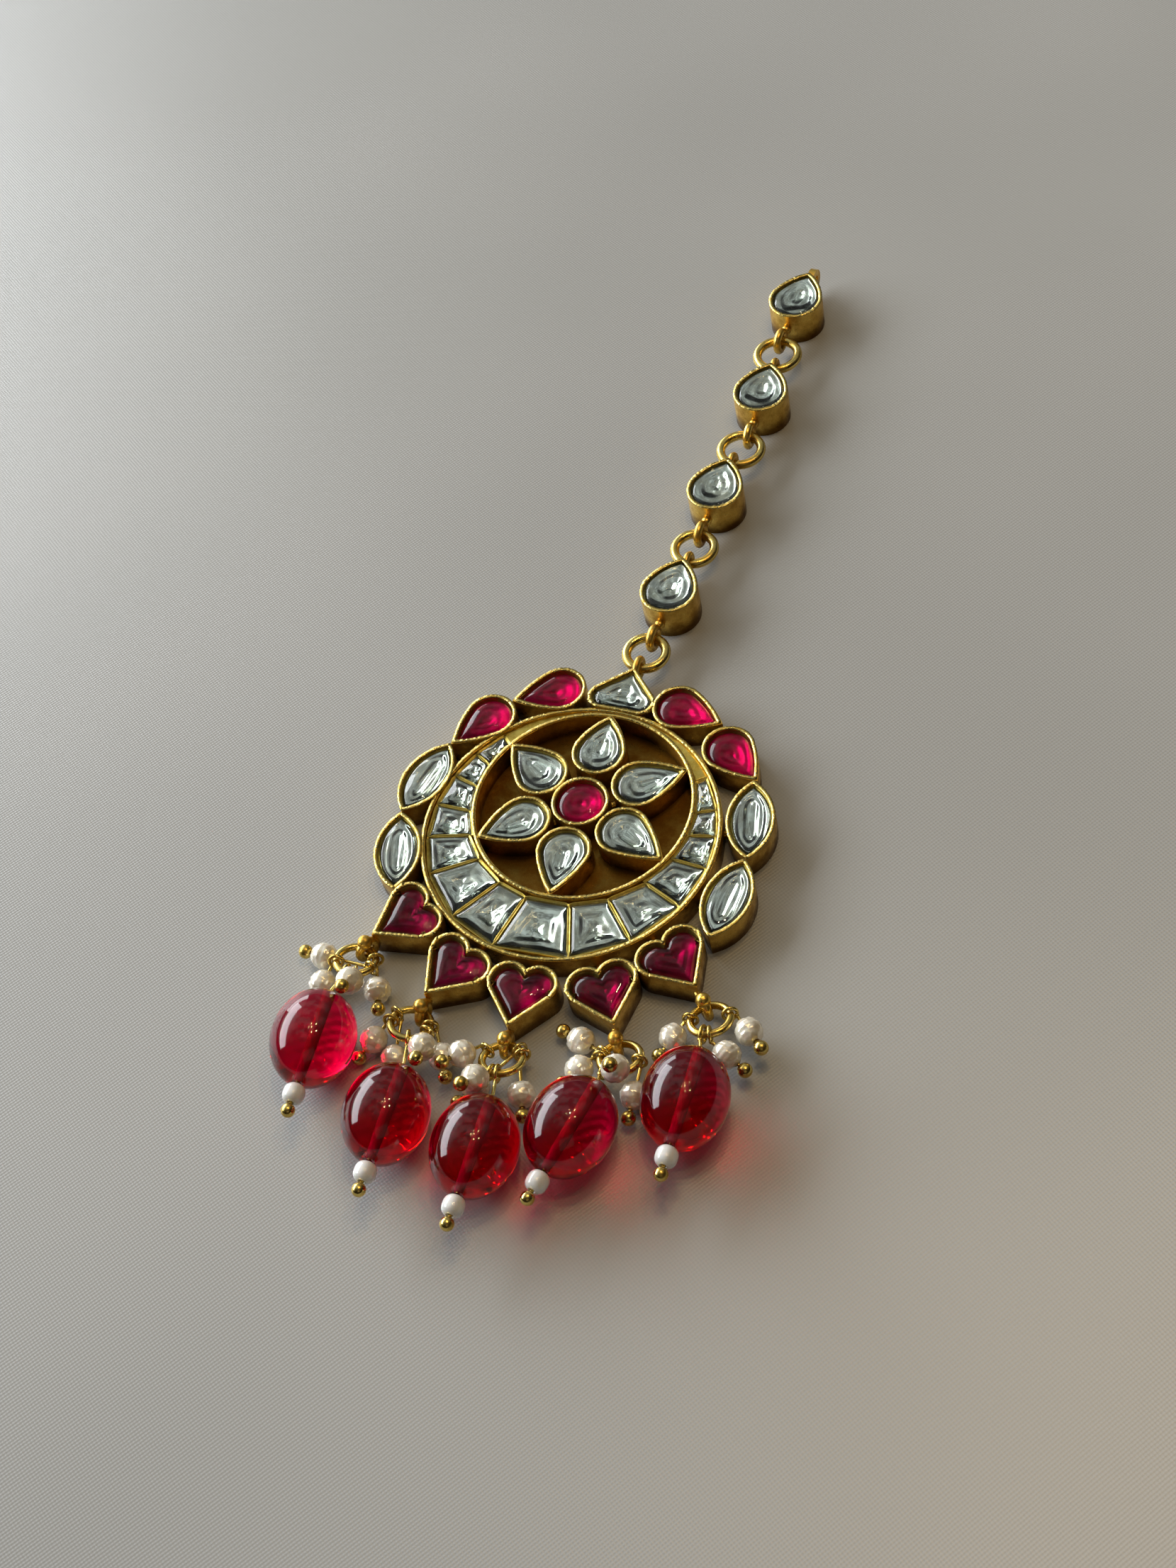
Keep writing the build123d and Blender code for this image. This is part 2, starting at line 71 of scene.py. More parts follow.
class Graph:
    """Adds and joins nodes in one tree."""

    def __init__(self, tree: bpy.types.NodeTree) -> None:
        """Keeps the tree that the nodes go into."""
        self.tree = tree

    def fill(self, node: bpy.types.Node, values: dict) -> None:
        """Sets a node's inputs.

        Args:
            node: the node.
            values: input name or number to a constant or to a socket to join.
        """
        for key, value in values.items():
            if isinstance(value, Socket):
                self.tree.links.new(value, node.inputs[key])
            else:
                node.inputs[key].default_value = value

    def add(self, kind: str, values: dict | None = None, **settings: object) -> bpy.types.Node:
        """Adds a node.

        Args:
            kind: the node's type.
            values: input name or number to a constant or to a socket to join.
            settings: the node's own properties.

        Returns:
            The new node.
        """
        node = self.tree.nodes.new(kind)
        for name, value in settings.items():
            setattr(node, name, value)
        self.fill(node, values or {})
        return node

    def maths(self, operation: str, first: Socket | float, second: Socket | float) -> Socket:
        """Adds a Math node and returns its result."""
        return self.add("ShaderNodeMath", {0: first, 1: second}, operation=operation).outputs[0]

    def weigh(self, first: Socket, share: float, second: Socket) -> Socket:
        """Averages two values, the second with what the first's share leaves."""
        rest = self.maths("MULTIPLY", second, 1 - share)
        return self.maths("ADD", self.maths("MULTIPLY", first, share), rest)

    def vector(self, operation: str, first: Socket, second: Place | None = None) -> bpy.types.Node:
        """Adds a Vector Math node and returns it."""
        values = {0: first} if second is None else {0: first, 1: second}
        return self.add("ShaderNodeVectorMath", values, operation=operation)

    def blend(self, factor: Socket, first: Socket | Colour, second: Socket | Colour,
              mode: str = "MIX") -> Socket:
        """Adds a colour Mix node and returns its colour."""
        settings = {"data_type": "RGBA", "blend_type": mode, "clamp_factor": False}
        return self.add("ShaderNodeMix", {0: factor, 6: first, 7: second}, **settings).outputs[2]

    def grain(self, vector: Socket, scale: Socket | float, detail: float, roughness: float = 0.55) -> Socket:
        """Adds a Noise texture and returns its factor."""
        values = {"Vector": vector, "Scale": scale, "Detail": detail, "Roughness": roughness}
        return self.add("ShaderNodeTexNoise", values).outputs[0]

    def span(self, value: Socket, low: float, high: float, to_low: float = 0.0,
             to_high: float = 1.0) -> Socket:
        """Adds a smooth Map Range node and returns its result."""
        values = {"Value": value, "From Min": low, "From Max": high, "To Min": to_low, "To Max": to_high}
        return self.add("ShaderNodeMapRange", values, interpolation_type="SMOOTHSTEP").outputs[0]


def new_group(name: str, kind: str, inputs: dict[str, tuple],
              outputs: dict[str, str]) -> tuple[Graph, dict[str, Socket], bpy.types.Node]:
    """Makes an empty node group.

    Args:
        name: the group's name.
        kind: the type of its tree.
        inputs: input name to its socket type and default, or to its type alone.
        outputs: output name to its socket type.

    Returns:
        The group's graph, its inputs by name and the node that takes its outputs.
    """
    tree = bpy.data.node_groups.new(name, kind)
    for label, (socket_type, *default) in inputs.items():
        socket = tree.interface.new_socket(label, in_out="INPUT", socket_type=socket_type)
        if default:
            socket.default_value = default[0]
    for label, socket_type in outputs.items():
        tree.interface.new_socket(label, in_out="OUTPUT", socket_type=socket_type)
    graph = Graph(tree)
    source = graph.add("NodeGroupInput")
    return graph, {label: source.outputs[label] for label in inputs}, graph.add("NodeGroupOutput")


class SharedEffects:
    """The shader groups that several finishes use, each built once."""

    outputs: dict[str, str] = {"Colour": "NodeSocketColor", "Roughness": "NodeSocketFloat",
                               "Height": "NodeSocketFloat"}

    def __init__(self) -> None:
        """Builds the groups."""
        self.worn_and_shaded_metal = self._worn_and_shaded_metal()
        self.uneven_glass = self._uneven_glass()

    def _worn_and_shaded_metal(self) -> bpy.types.NodeTree:
        """Hand-worked metal: cloudy colour, uneven polish, small dents and painted shade that darkens it low
        down.

        Returns:
            The group's tree.
        """
        graph, given, out = new_group("worn_and_shaded_metal", "ShaderNodeTree", {
            "Bright": ("NodeSocketColor", (0.9, 0.7, 0.35, 1)),
            "Deep": ("NodeSocketColor", (0.5, 0.3, 0.1, 1)),
            "Patch Scale": ("NodeSocketFloat", 600.0),
            "Grain Scale": ("NodeSocketFloat", 6000.0),
            "Polish": ("NodeSocketFloat", 0.2),
            "Dullness": ("NodeSocketFloat", 0.2),
            "Painted Shade": ("NodeSocketFloat", 0.0),
        }, self.outputs)
        place = graph.add("ShaderNodeTexCoord").outputs["Object"]
        patches = graph.grain(place, given["Patch Scale"], 4.0, 0.6)
        fine = graph.grain(place, given["Grain Scale"], 3.0, 0.6)
        cloud = graph.span(graph.weigh(patches, 0.75, fine), 0.36, 0.64)
        height = graph.add("ShaderNodeSeparateXYZ", {0: place}).outputs["Z"]
        uneven = graph.maths("ADD", height, graph.maths("MULTIPLY", patches, 1.0 * MM))
        # Painted shade: the metal darkens with a patchy edge from about 3.2 mm down to 0.9 mm height, where
        # shade falls in recesses.
        painted_shade_mask = graph.span(uneven, 0.9 * MM, 3.2 * MM, 1.0, 0.0)
        colour = graph.blend(cloud, given["Deep"], given["Bright"])
        dull = graph.maths("MULTIPLY", graph.maths("SUBTRACT", 1.0, cloud), given["Dullness"])
        painted_shade = graph.maths("MULTIPLY", painted_shade_mask, given["Painted Shade"])
        graph.fill(out, {"Colour": graph.blend(painted_shade, colour, PAINTED_SHADE_TINT, "MULTIPLY"),
                         "Roughness": graph.maths("ADD", given["Polish"], dull),
                         "Height": graph.weigh(patches, 0.7, fine)})
        return graph.tree

    def _uneven_glass(self) -> bpy.types.NodeTree:
        """Old glass: a slow swell of the surface and faint scuffs.

        Returns:
            The group's tree.
        """
        graph, given, out = new_group("uneven_glass", "ShaderNodeTree", {
            "Clear": ("NodeSocketColor", (1, 1, 1, 1)),
            "Cloudy": ("NodeSocketColor", (0.9, 0.9, 0.9, 1)),
            "Swell Scale": ("NodeSocketFloat", 400.0),
            "Scuff Scale": ("NodeSocketFloat", 2500.0),
            "Polish": ("NodeSocketFloat", 0.01),
            "Scuffing": ("NodeSocketFloat", 0.05),
        }, self.outputs)
        place = graph.add("ShaderNodeTexCoord").outputs["Object"]
        swell = graph.grain(place, given["Swell Scale"], 1.0, 0.4)
        scuffs = graph.span(graph.grain(place, given["Scuff Scale"], 5.0, 0.7), 0.52, 0.75)
        rough = graph.maths("ADD", given["Polish"], graph.maths("MULTIPLY", scuffs, given["Scuffing"]))
        colour = graph.blend(graph.span(swell, 0.35, 0.65), given["Clear"], given["Cloudy"])
        graph.fill(out, {"Colour": colour, "Roughness": rough, "Height": swell})
        return graph.tree


# ---------------------------------------------------------------- finishes


def dressed(name: str, values: dict) -> tuple[bpy.types.Material, Graph, bpy.types.Node]:
    """Makes a material with a lone Principled BSDF.

    Args:
        name: the material's name.
        values: the shader's constants, by input name.

    Returns:
        The material, its graph and the shader.
    """
    material = bpy.data.materials.new(name)
    material.use_nodes = True
    graph = Graph(material.node_tree)
    material.node_tree.nodes.clear()
    shader = graph.add("ShaderNodeBsdfPrincipled", values)
    graph.add("ShaderNodeOutputMaterial", {"Surface": shader.outputs[0]})
    return material, graph, shader


def take_effect(graph: Graph, shader: bpy.types.Node, effect: bpy.types.NodeTree, values: dict, relief: float,
                strength: float) -> None:
    """Joins a shared effect's colour, roughness and relief to a shader.

    Args:
        graph: the material's graph.
        shader: the shader.
        effect: the effect's group.
        values: the group's own values, by input name.
        relief: height of the relief.
        strength: strength of the relief, from 0 to 1.
    """
    skin = graph.add("ShaderNodeGroup", values, node_tree=effect).outputs
    bump = graph.add("ShaderNodeBump", {"Height": skin["Height"], "Distance": relief, "Strength": strength})
    graph.fill(shader, {"Base Color": skin["Colour"], "Roughness": skin["Roughness"],
                        "Normal": bump.outputs[0]})


@dataclass(frozen=True)
class MetalFinish:
    """Gold or foil in one state of wear, with an amount of painted shade low down."""

    name: str
    bright: Colour
    deep: Colour
    patch_scale: float
    grain_scale: float
    polish: float
    dullness: float
    dent: float
    dent_strength: float
    painted_shade: float = 0.0

    def build(self, effects: SharedEffects) -> bpy.types.Material:
        """Makes the material.

        Args:
            effects: the shared effects.

        Returns:
            The material.
        """
        material, graph, shader = dressed(self.name, {"Metallic": 1.0})
        values = {"Bright": self.bright, "Deep": self.deep, "Patch Scale": self.patch_scale,
                  "Grain Scale": self.grain_scale, "Polish": self.polish, "Dullness": self.dullness,
                  "Painted Shade": self.painted_shade}
        take_effect(graph, shader, effects.worn_and_shaded_metal, values, self.dent, self.dent_strength)
        return material


@dataclass(frozen=True)
class GlassFinish:
    """Clear or coloured glass, with its own slight unevenness."""

    name: str
    clear: Colour
    cloudy: Colour
    swell_scale: float
    swell: float = 0.02 * MM
    swell_strength: float = 0.5
    polish: float = 0.0
    scuffing: float = 0.06
    ior: float = 1.52
    clarity: float = 1.0
    body: Colour = (1, 1, 1, 1)
    body_density: float = 0.0

    def build(self, effects: SharedEffects) -> bpy.types.Material:
        """Makes the material.

        Args:
            effects: the shared effects.

        Returns:
            The material.
        """
        material, graph, shader = dressed(self.name, {"Transmission Weight": self.clarity, "IOR": self.ior})
        values = {"Clear": self.clear, "Cloudy": self.cloudy, "Swell Scale": self.swell_scale,
                  "Polish": self.polish, "Scuffing": self.scuffing}
        take_effect(graph, shader, effects.uneven_glass, values, self.swell, self.swell_strength)
        if self.body_density:
            absorbed = graph.add("ShaderNodeVolumeAbsorption", {"Color": self.body,
                                                                "Density": self.body_density})
            graph.fill(material.node_tree.get_output_node("ALL"), {"Volume": absorbed.outputs[0]})
        return material


@dataclass(frozen=True)
class PearlFinish:
    """Nacre or white glass: a soft body under a wet gloss."""

    name: str
    light: Colour
    shade: Colour
    wrinkle: float
    roughness: float
    ridge_scale: float = 900.0
    lustre: float = 0.0
    cloud_scale: float = 700.0
    wrinkle_strength: float = 0.6

    def build(self, _effects: SharedEffects) -> bpy.types.Material:
        """Makes the material.

        Args:
            _effects: the shared effects, of which it needs none.

        Returns:
            The material.
        """
        material, graph, shader = dressed(self.name, {
            "Metallic": self.lustre, "Subsurface Weight": 0.2, "Subsurface Scale": 0.5 * MM,
            "Subsurface Radius": (1.0, 0.7, 0.5), "Coat Weight": 0.8, "Coat Roughness": 0.07})
        place = graph.add("ShaderNodeTexCoord").outputs["Object"]
        cloud = graph.grain(place, self.cloud_scale, 4.0, 0.6)
        ridges = graph.grain(place, self.ridge_scale, 2.0, 0.5)
        bump = graph.add("ShaderNodeBump", {"Height": ridges, "Distance": self.wrinkle,
                                            "Strength": self.wrinkle_strength})
        graph.fill(shader, {
            "Base Color": graph.blend(graph.span(cloud, 0.35, 0.65), self.shade, self.light),
            "Roughness": graph.span(cloud, 0.3, 0.7, self.roughness * 1.3, self.roughness * 0.8),
            "Normal": bump.outputs[0]})
        return material


@dataclass(frozen=True)
class ClothFinish:
    """The plain pale floor: fine close weave."""

    name: str = "floor_cloth"
    light: Colour = (0.385, 0.385, 0.375, 1)
    shade: Colour = (0.335, 0.335, 0.325, 1)
    thread: float = 0.35 * MM
    threads_per_wave: float = 3.2
    thread_ways: tuple[float, float] = (0.6, 2.17)
    relief: float = 0.05 * MM
    relief_strength: float = 0.2

    def build(self, _effects: SharedEffects) -> bpy.types.Material:
        """Makes the material.

        Args:
            _effects: the shared effects, of which it needs none.

        Returns:
            The material.
        """
        material, graph, shader = dressed(self.name, {"Roughness": 0.36, "Specular IOR Level": 0.8,
                                                      "Sheen Weight": 0.15})
        place = graph.add("ShaderNodeTexCoord").outputs["Object"]
        weave = []
        for turn in self.thread_ways:
            turned = graph.add("ShaderNodeMapping", {"Vector": place, "Rotation": (0, 0, turn)}).outputs[0]
            scale = 1.0 / self.thread / self.threads_per_wave
            wave = graph.add("ShaderNodeTexWave", {"Vector": turned, "Scale": scale, "Distortion": 0.6,
                                                   "Detail": 1.0})
            weave.append(wave.outputs[1])
        height = graph.maths("ADD", *weave)
        cloud = graph.span(graph.grain(place, 9.0, 2.0, 0.5), 0.3, 0.7)
        base = graph.blend(cloud, self.shade, self.light)
        bump = graph.add("ShaderNodeBump", {"Height": height, "Distance": self.relief,
                                            "Strength": self.relief_strength})
        # Painted shade: the cloth's colour darkens by up to 7% in the weave's hollows.
        weave_painted_shade = graph.blend(graph.span(height, 0.2, 1.6, 0.93, 1.0), (0, 0, 0, 1), base)
        graph.fill(shader, {"Base Color": weave_painted_shade, "Normal": bump.outputs[0]})
        return material


@dataclass(frozen=True)
class Finishes:
    """Every finish of the ornament, built once."""

    effects: SharedEffects = field(default_factory=SharedEffects)
    made: dict[str, bpy.types.Material] = field(default_factory=dict)
    # Wall gold carries strong painted shade: darker low down, in the openings and at the feet of walls.
    wall: MetalFinish = MetalFinish(
        "wall_gold", (0.9, 0.62, 0.14, 1), (0.52, 0.29, 0.045, 1), patch_scale=500, grain_scale=7000,
        polish=0.26, dullness=0.22, dent=0.03 * MM, dent_strength=0.5, painted_shade=0.95)
    rim: MetalFinish = MetalFinish(
        "rim_gold", (0.74, 0.59, 0.2, 1), (0.48, 0.335, 0.075, 1), patch_scale=1600, grain_scale=7000,
        polish=0.2, dullness=0.25, dent=0.06 * MM, dent_strength=0.9)
    wire: MetalFinish = MetalFinish(
        "wire_gold", (0.8, 0.61, 0.19, 1), (0.52, 0.35, 0.075, 1), patch_scale=600, grain_scale=9000,
        polish=0.16, dullness=0.2, dent=0.01 * MM, dent_strength=0.4)
    bed: MetalFinish = MetalFinish(
        "bed_foil", (0.6, 0.47, 0.115, 1), (0.34, 0.25, 0.045, 1), patch_scale=900, grain_scale=6000,
        polish=0.3, dullness=0.2, dent=0.05 * MM, dent_strength=0.6)
    silver_foil: MetalFinish = MetalFinish(
        "silver_foil", (0.75, 0.83, 0.78, 1), (0.52, 0.54, 0.45, 1), patch_scale=350, grain_scale=2500,
        polish=0.07, dullness=0.1, dent=0.02 * MM, dent_strength=0.04)
    ruby_foil: MetalFinish = MetalFinish(
        "ruby_foil", (0.9, 0.6, 0.62, 1), (0.6, 0.3, 0.34, 1), patch_scale=500, grain_scale=3000,
        polish=0.3, dullness=0.1, dent=0.04 * MM, dent_strength=0.2)
    clear: GlassFinish = GlassFinish(
        "clear_glass", (0.98, 0.99, 0.98, 1), (0.93, 0.95, 0.93, 1), swell_scale=300)
    ruby: GlassFinish = GlassFinish(
        "ruby_glass", (0.47, 0.0005, 0.085, 1), (0.3, 0.0005, 0.055, 1), swell_scale=400, ior=1.34)
    heart: GlassFinish = GlassFinish(
        "heart_glass", (0.21, 0.0003, 0.04, 1), (0.1, 0.0002, 0.02, 1), swell_scale=400, ior=1.34)
    red: GlassFinish = GlassFinish(
        "bead_glass", (0.93, 0.004, 0.37, 1), (0.86, 0.003, 0.3, 1), swell_scale=200, polish=0.05,
        scuffing=0.15, ior=1.47, body=(0.98, 0.0, 0.83, 1), body_density=1700.0)
    bore: GlassFinish = GlassFinish(
        "bore_glass", (0.5, 0.002, 0.2, 1), (0.35, 0.0015, 0.14, 1), swell_scale=900, polish=0.6,
        scuffing=0.2, ior=1.05, clarity=0.0)
    pearl: PearlFinish = PearlFinish(
        "pearl_skin", (0.97, 0.92, 0.79, 1), (0.74, 0.67, 0.54, 1), wrinkle=0.05 * MM, roughness=0.2,
        ridge_scale=1400.0, lustre=0.3)
    porcelain: PearlFinish = PearlFinish(
        "white_bead", (0.87, 0.87, 0.86, 1), (0.78, 0.78, 0.77, 1), wrinkle=0.01 * MM, roughness=0.14)
    cloth: ClothFinish = ClothFinish()

    def material(self, finish: MetalFinish | GlassFinish | PearlFinish | ClothFinish) -> bpy.types.Material:
        """Gives a finish's material, made the first time it is asked for.

        Args:
            finish: the finish.

        Returns:
            Its material.
        """
        if finish.name not in self.made:
            self.made[finish.name] = finish.build(self.effects)
        return self.made[finish.name]


# ---------------------------------------------------------------- meshes


@dataclass
class Shell:
    """One closed solid of a CAD node: its welded points and faces."""

    points: np.ndarray
    faces: list[tuple[int, ...]]

    @property
    def centre(self) -> np.ndarray:
        """The middle of the shell's box."""
        return (self.points.min(0) + self.points.max(0)) / 2

    def bore_axis(self, reach: float) -> np.ndarray:
        """The direction of the hole through a bead.

        Args:
            reach: share of the bead's radius inside which only the hole's wall passes.

        Returns:
            A unit vector.
        """
        centre = self.centre
        radius = np.abs(self.points - centre).max()
        edges = {tuple(sorted(pair)) for face in self.faces for pair in zip(face, face[1:] + face[:1])}
        pairs = np.array([(a, b) for a, b in edges])
        middles = (self.points[pairs[:, 0]] + self.points[pairs[:, 1]]) / 2 - centre
        near = pairs[np.linalg.norm(middles, axis=1) < radius * reach]
        spans = self.points[near[:, 0]] - self.points[near[:, 1]]
        longest = spans[np.linalg.norm(spans, axis=1).argmax()]
        spans = spans * np.sign(spans @ longest)[:, None]
        axis = spans.sum(0)
        return axis / np.linalg.norm(axis)

    def measures(self) -> tuple[np.ndarray, float, float, float]:
        """Measures a bead.

        Returns:
            The way of its bore, its half length, its radius and the radius of its bore.
        """
        axis = self.bore_axis(reach=0.5)
        places = self.points - self.centre
        along = places @ axis
        out = np.linalg.norm(places - np.outer(along, axis), axis=1)
        return axis, np.abs(along).max(), out.max(), out.min()

    def foot_outline(self) -> np.ndarray:
        """Follows the edge of the flat bottom.

        Returns:
            Its points in the plane, in order, anticlockwise.
        """
        low = self.points[:, 2].min() + FLAT
        foot = [face for face in self.faces if all(self.points[v][2] < low for v in face)]
        edges = {pair for face in foot for pair in zip(face, face[1:] + face[:1])}
        follows = {a: b for a, b in edges if (b, a) not in edges}
        start = min(follows)
        order = [start]
        while follows[order[-1]] != start:
            order.append(follows[order[-1]])
        outline = self.points[order][:, :2]
        x, y = outline.T
        if (x * np.roll(y, -1) - y * np.roll(x, -1)).sum() < 0:
            outline = outline[::-1]
        return outline


def shells(node: bpy.types.Object) -> list[Shell]:
    """Parts a CAD node into its separate solids, with their points welded.

    Args:
        node: the node.

    Returns:
        The solids, in the order of their first points.
    """
    mesh = bmesh.new()
    mesh.from_mesh(node.data)
    bmesh.ops.remove_doubles(mesh, verts=mesh.verts, dist=WELD)
    mesh.verts.ensure_lookup_table()
    mesh.verts.index_update()
    found, seen = [], set()
    for first in mesh.verts:
        if first.index in seen or not first.link_faces:
            continue
        group, queue = [], [first]
        seen.add(first.index)
        while queue:
            point = queue.pop()
            group.append(point)
            for edge in point.link_edges:
                other = edge.other_vert(point)
                if other.index not in seen:
                    seen.add(other.index)
                    queue.append(other)
        number = {point.index: n for n, point in enumerate(group)}
        faces = {face for point in group for face in point.link_faces}
        faces = sorted(tuple(number[v.index] for v in face.verts) for face in faces)
        found.append(Shell(np.array([tuple(point.co) for point in group]), faces))
    mesh.free()
    return found


def curve_through(padded: np.ndarray, steps: int = 12) -> np.ndarray:
    """Draws a smooth curve through a row of points.

    Args:
        padded: the points, with one more before the first and one more after the last.
        steps: new points for each span.

    Returns:
        The curve's points, ending on the last point.
    """
    fine = []
    for p0, p1, p2, p3 in zip(padded, padded[1:], padded[2:], padded[3:]):
        for t in np.linspace(0, 1, steps, endpoint=False):
            fine.append(0.5 * (2 * p1 + (p2 - p0) * t + (2 * p0 - 5 * p1 + 4 * p2 - p3) * t * t
                               + (3 * p1 - p0 - 3 * p2 + p3) * t ** 3))
    return np.array([*fine, padded[-2]])


def smooth_outline(corners: np.ndarray, spacing: float, sharp: float = math.radians(25)) -> np.ndarray:
    """Spaces points evenly along a closed outline, curved between its sharp corners.

    Args:
        corners: the outline's points, in order.
        spacing: distance between the new points.
        sharp: turn at which a point counts as a corner.

    Returns:
        The new points, in order, with every sharp corner kept.
    """
    count = len(corners)
    ahead = np.roll(corners, -1, 0) - corners
    heading = np.arctan2(ahead[:, 1], ahead[:, 0])
    turn = np.abs((heading - np.roll(heading, 1) + np.pi) % (2 * np.pi) - np.pi)
    marks = [i for i in range(count) if turn[i] > sharp] or [0]
    result = []
    for start, end in zip(marks, marks[1:] + [marks[0] + count]):
        run = np.array([corners[i % count] for i in range(start, end + 1)])
        if len(marks) == 1 and turn[marks[0]] <= sharp:
            before, after = corners[(start - 1) % count], corners[(end + 1) % count]
        else:
            before, after = 2 * run[0] - run[1], 2 * run[-1] - run[-2]
        fine = curve_through(np.vstack([before, run, after]))
        length = np.r_[0, np.cumsum(np.linalg.norm(np.diff(fine, axis=0), axis=1))]
        steps = max(2, round(length[-1] / spacing))
        at = np.linspace(0, length[-1], steps + 1)[:-1]
        result.append(np.c_[np.interp(at, length, fine[:, 0]), np.interp(at, length, fine[:, 1])])
    return np.vstack(result)


def spread_outline(outline: np.ndarray, distance: float | np.ndarray, miter: float = 2.2,
                   nearest: float = 0.96) -> np.ndarray:
    """Moves an outline outwards, its corners kept.

    Args:
        outline: points in order, anticlockwise.
        distance: how far out, or in where it is negative, alike or for each point.
        miter: most that a corner may move, in distances.
        nearest: share of the distance below which a moved point lies in a fold and is evened out.

    Returns:
        The moved points.
    """
    back = outline - np.roll(outline, 1, 0)
    ahead = np.roll(outline, -1, 0) - outline
    back /= np.linalg.norm(back, axis=1)[:, None]
    ahead /= np.linalg.norm(ahead, axis=1)[:, None]
    normal_back = np.c_[back[:, 1], -back[:, 0]]
    normal_ahead = np.c_[ahead[:, 1], -ahead[:, 0]]
    middle = normal_back + normal_ahead
    middle /= np.linalg.norm(middle, axis=1)[:, None]
    share = np.clip((middle * normal_ahead).sum(1), 1 / miter, 1)
    moved = outline + middle * (distance / share)[:, None]
    gap = np.linalg.norm(moved[:, None] - outline[None], axis=2).min(1)
    count = np.arange(len(outline))
    sound = np.flatnonzero(gap >= np.abs(distance) * nearest)
    return np.c_[[np.interp(count, sound, moved[sound, axis], period=len(outline)) for axis in (0, 1)]].T


def placed(name: str, data: bpy.types.ID) -> bpy.types.Object:
    """Puts a mesh, curve, lamp or camera into the scene.

    Args:
        name: the object's name.
        data: what it shows.

    Returns:
        The new object.
    """
    piece = bpy.data.objects.new(name, data)
    bpy.context.scene.collection.objects.link(piece)
    return piece


def mesh_object(name: str, points: np.ndarray, faces: list, materials: list[bpy.types.Material],
                slots: list[int] | None = None, weld: float = 1e-6) -> bpy.types.Object:
    """Makes a smooth mesh object, welded, with its faces outwards.

    Args:
        name: the piece's name.
        points: its points.
        faces: its faces, as numbers of points.
        materials: its materials.
        slots: each face's material.
        weld: distance within which points are one.

    Returns:
        The new object.
    """
    mesh = bpy.data.meshes.new(name)
    mesh.from_pydata([tuple(p) for p in points], [], faces)
    for material in materials:
        mesh.materials.append(material)
    if slots:
        mesh.polygons.foreach_set("material_index", slots)
    work = bmesh.new()
    work.from_mesh(mesh)
    bmesh.ops.remove_doubles(work, verts=work.verts, dist=weld)
    bmesh.ops.dissolve_degenerate(work, edges=work.edges, dist=weld)
    bmesh.ops.recalc_face_normals(work, faces=work.faces)
    work.to_mesh(mesh)
    work.free()
    mesh.polygons.foreach_set("use_smooth", [True] * len(mesh.polygons))
    return placed(name, mesh)


def loft(name: str, rings: list[np.ndarray], materials: list[bpy.types.Material],
         slots: list[int] | None = None, closed: bool = False) -> bpy.types.Object:
    """Skins a row of closed rings with equal numbers of points.

    Args:
        name: the piece's name.
        rings: the rings, in order.
        materials: the piece's materials.
        slots: which material each band between two rings takes.
        closed: whether the last ring joins the first.

    Returns:
        The new object.
    """
    count = len(rings[0])
    pairs = list(zip(range(len(rings)), range(1, len(rings)))) + ([(len(rings) - 1, 0)] if closed else [])
    turn = [(i, (i + 1) % count) for i in range(count)]
    faces = [(low * count + i, low * count + j, high * count + j, high * count + i)
             for low, high in pairs for i, j in turn]
    chosen = [slots[band] if slots else 0 for band in range(len(pairs)) for _ in turn]
    return mesh_object(name, np.vstack(rings), faces, materials, chosen)


def join_meshes(name: str, parts: list[bpy.types.Object]) -> bpy.types.Object:
    """Joins mesh objects that carry the same materials into one.

    Args:
        name: the new piece's name.
        parts: the objects, removed afterwards.

    Returns:
        The new object.
    """
    work = bmesh.new()
    for part in parts:
        work.from_mesh(part.data)
    mesh = bpy.data.meshes.new(name)
    work.to_mesh(mesh)
    work.free()
    for material in parts[0].data.materials:
        mesh.materials.append(material)
    for part in parts:
        bpy.data.objects.remove(part)
    return placed(name, mesh)


def mount(piece: bpy.types.Object, slot: str, *nodes: str) -> None:
    """Hands a finished piece to the frame and reports it.

    Args:
        piece: the piece.
        slot: its material slot; not used.
        nodes: the CAD nodes it stands for.
    """
    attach(piece, BODY)
    if nodes:
        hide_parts(*nodes)
    LOG.info("%s: %d faces", piece.name, len(piece.data.polygons))


# ---------------------------------------------------------------- stones


class Cut(Enum):
    """How a stone's crown rises from its edge."""

    RIDGED = "ridged"
    TABLET = "tablet"
    DOMED = "domed"


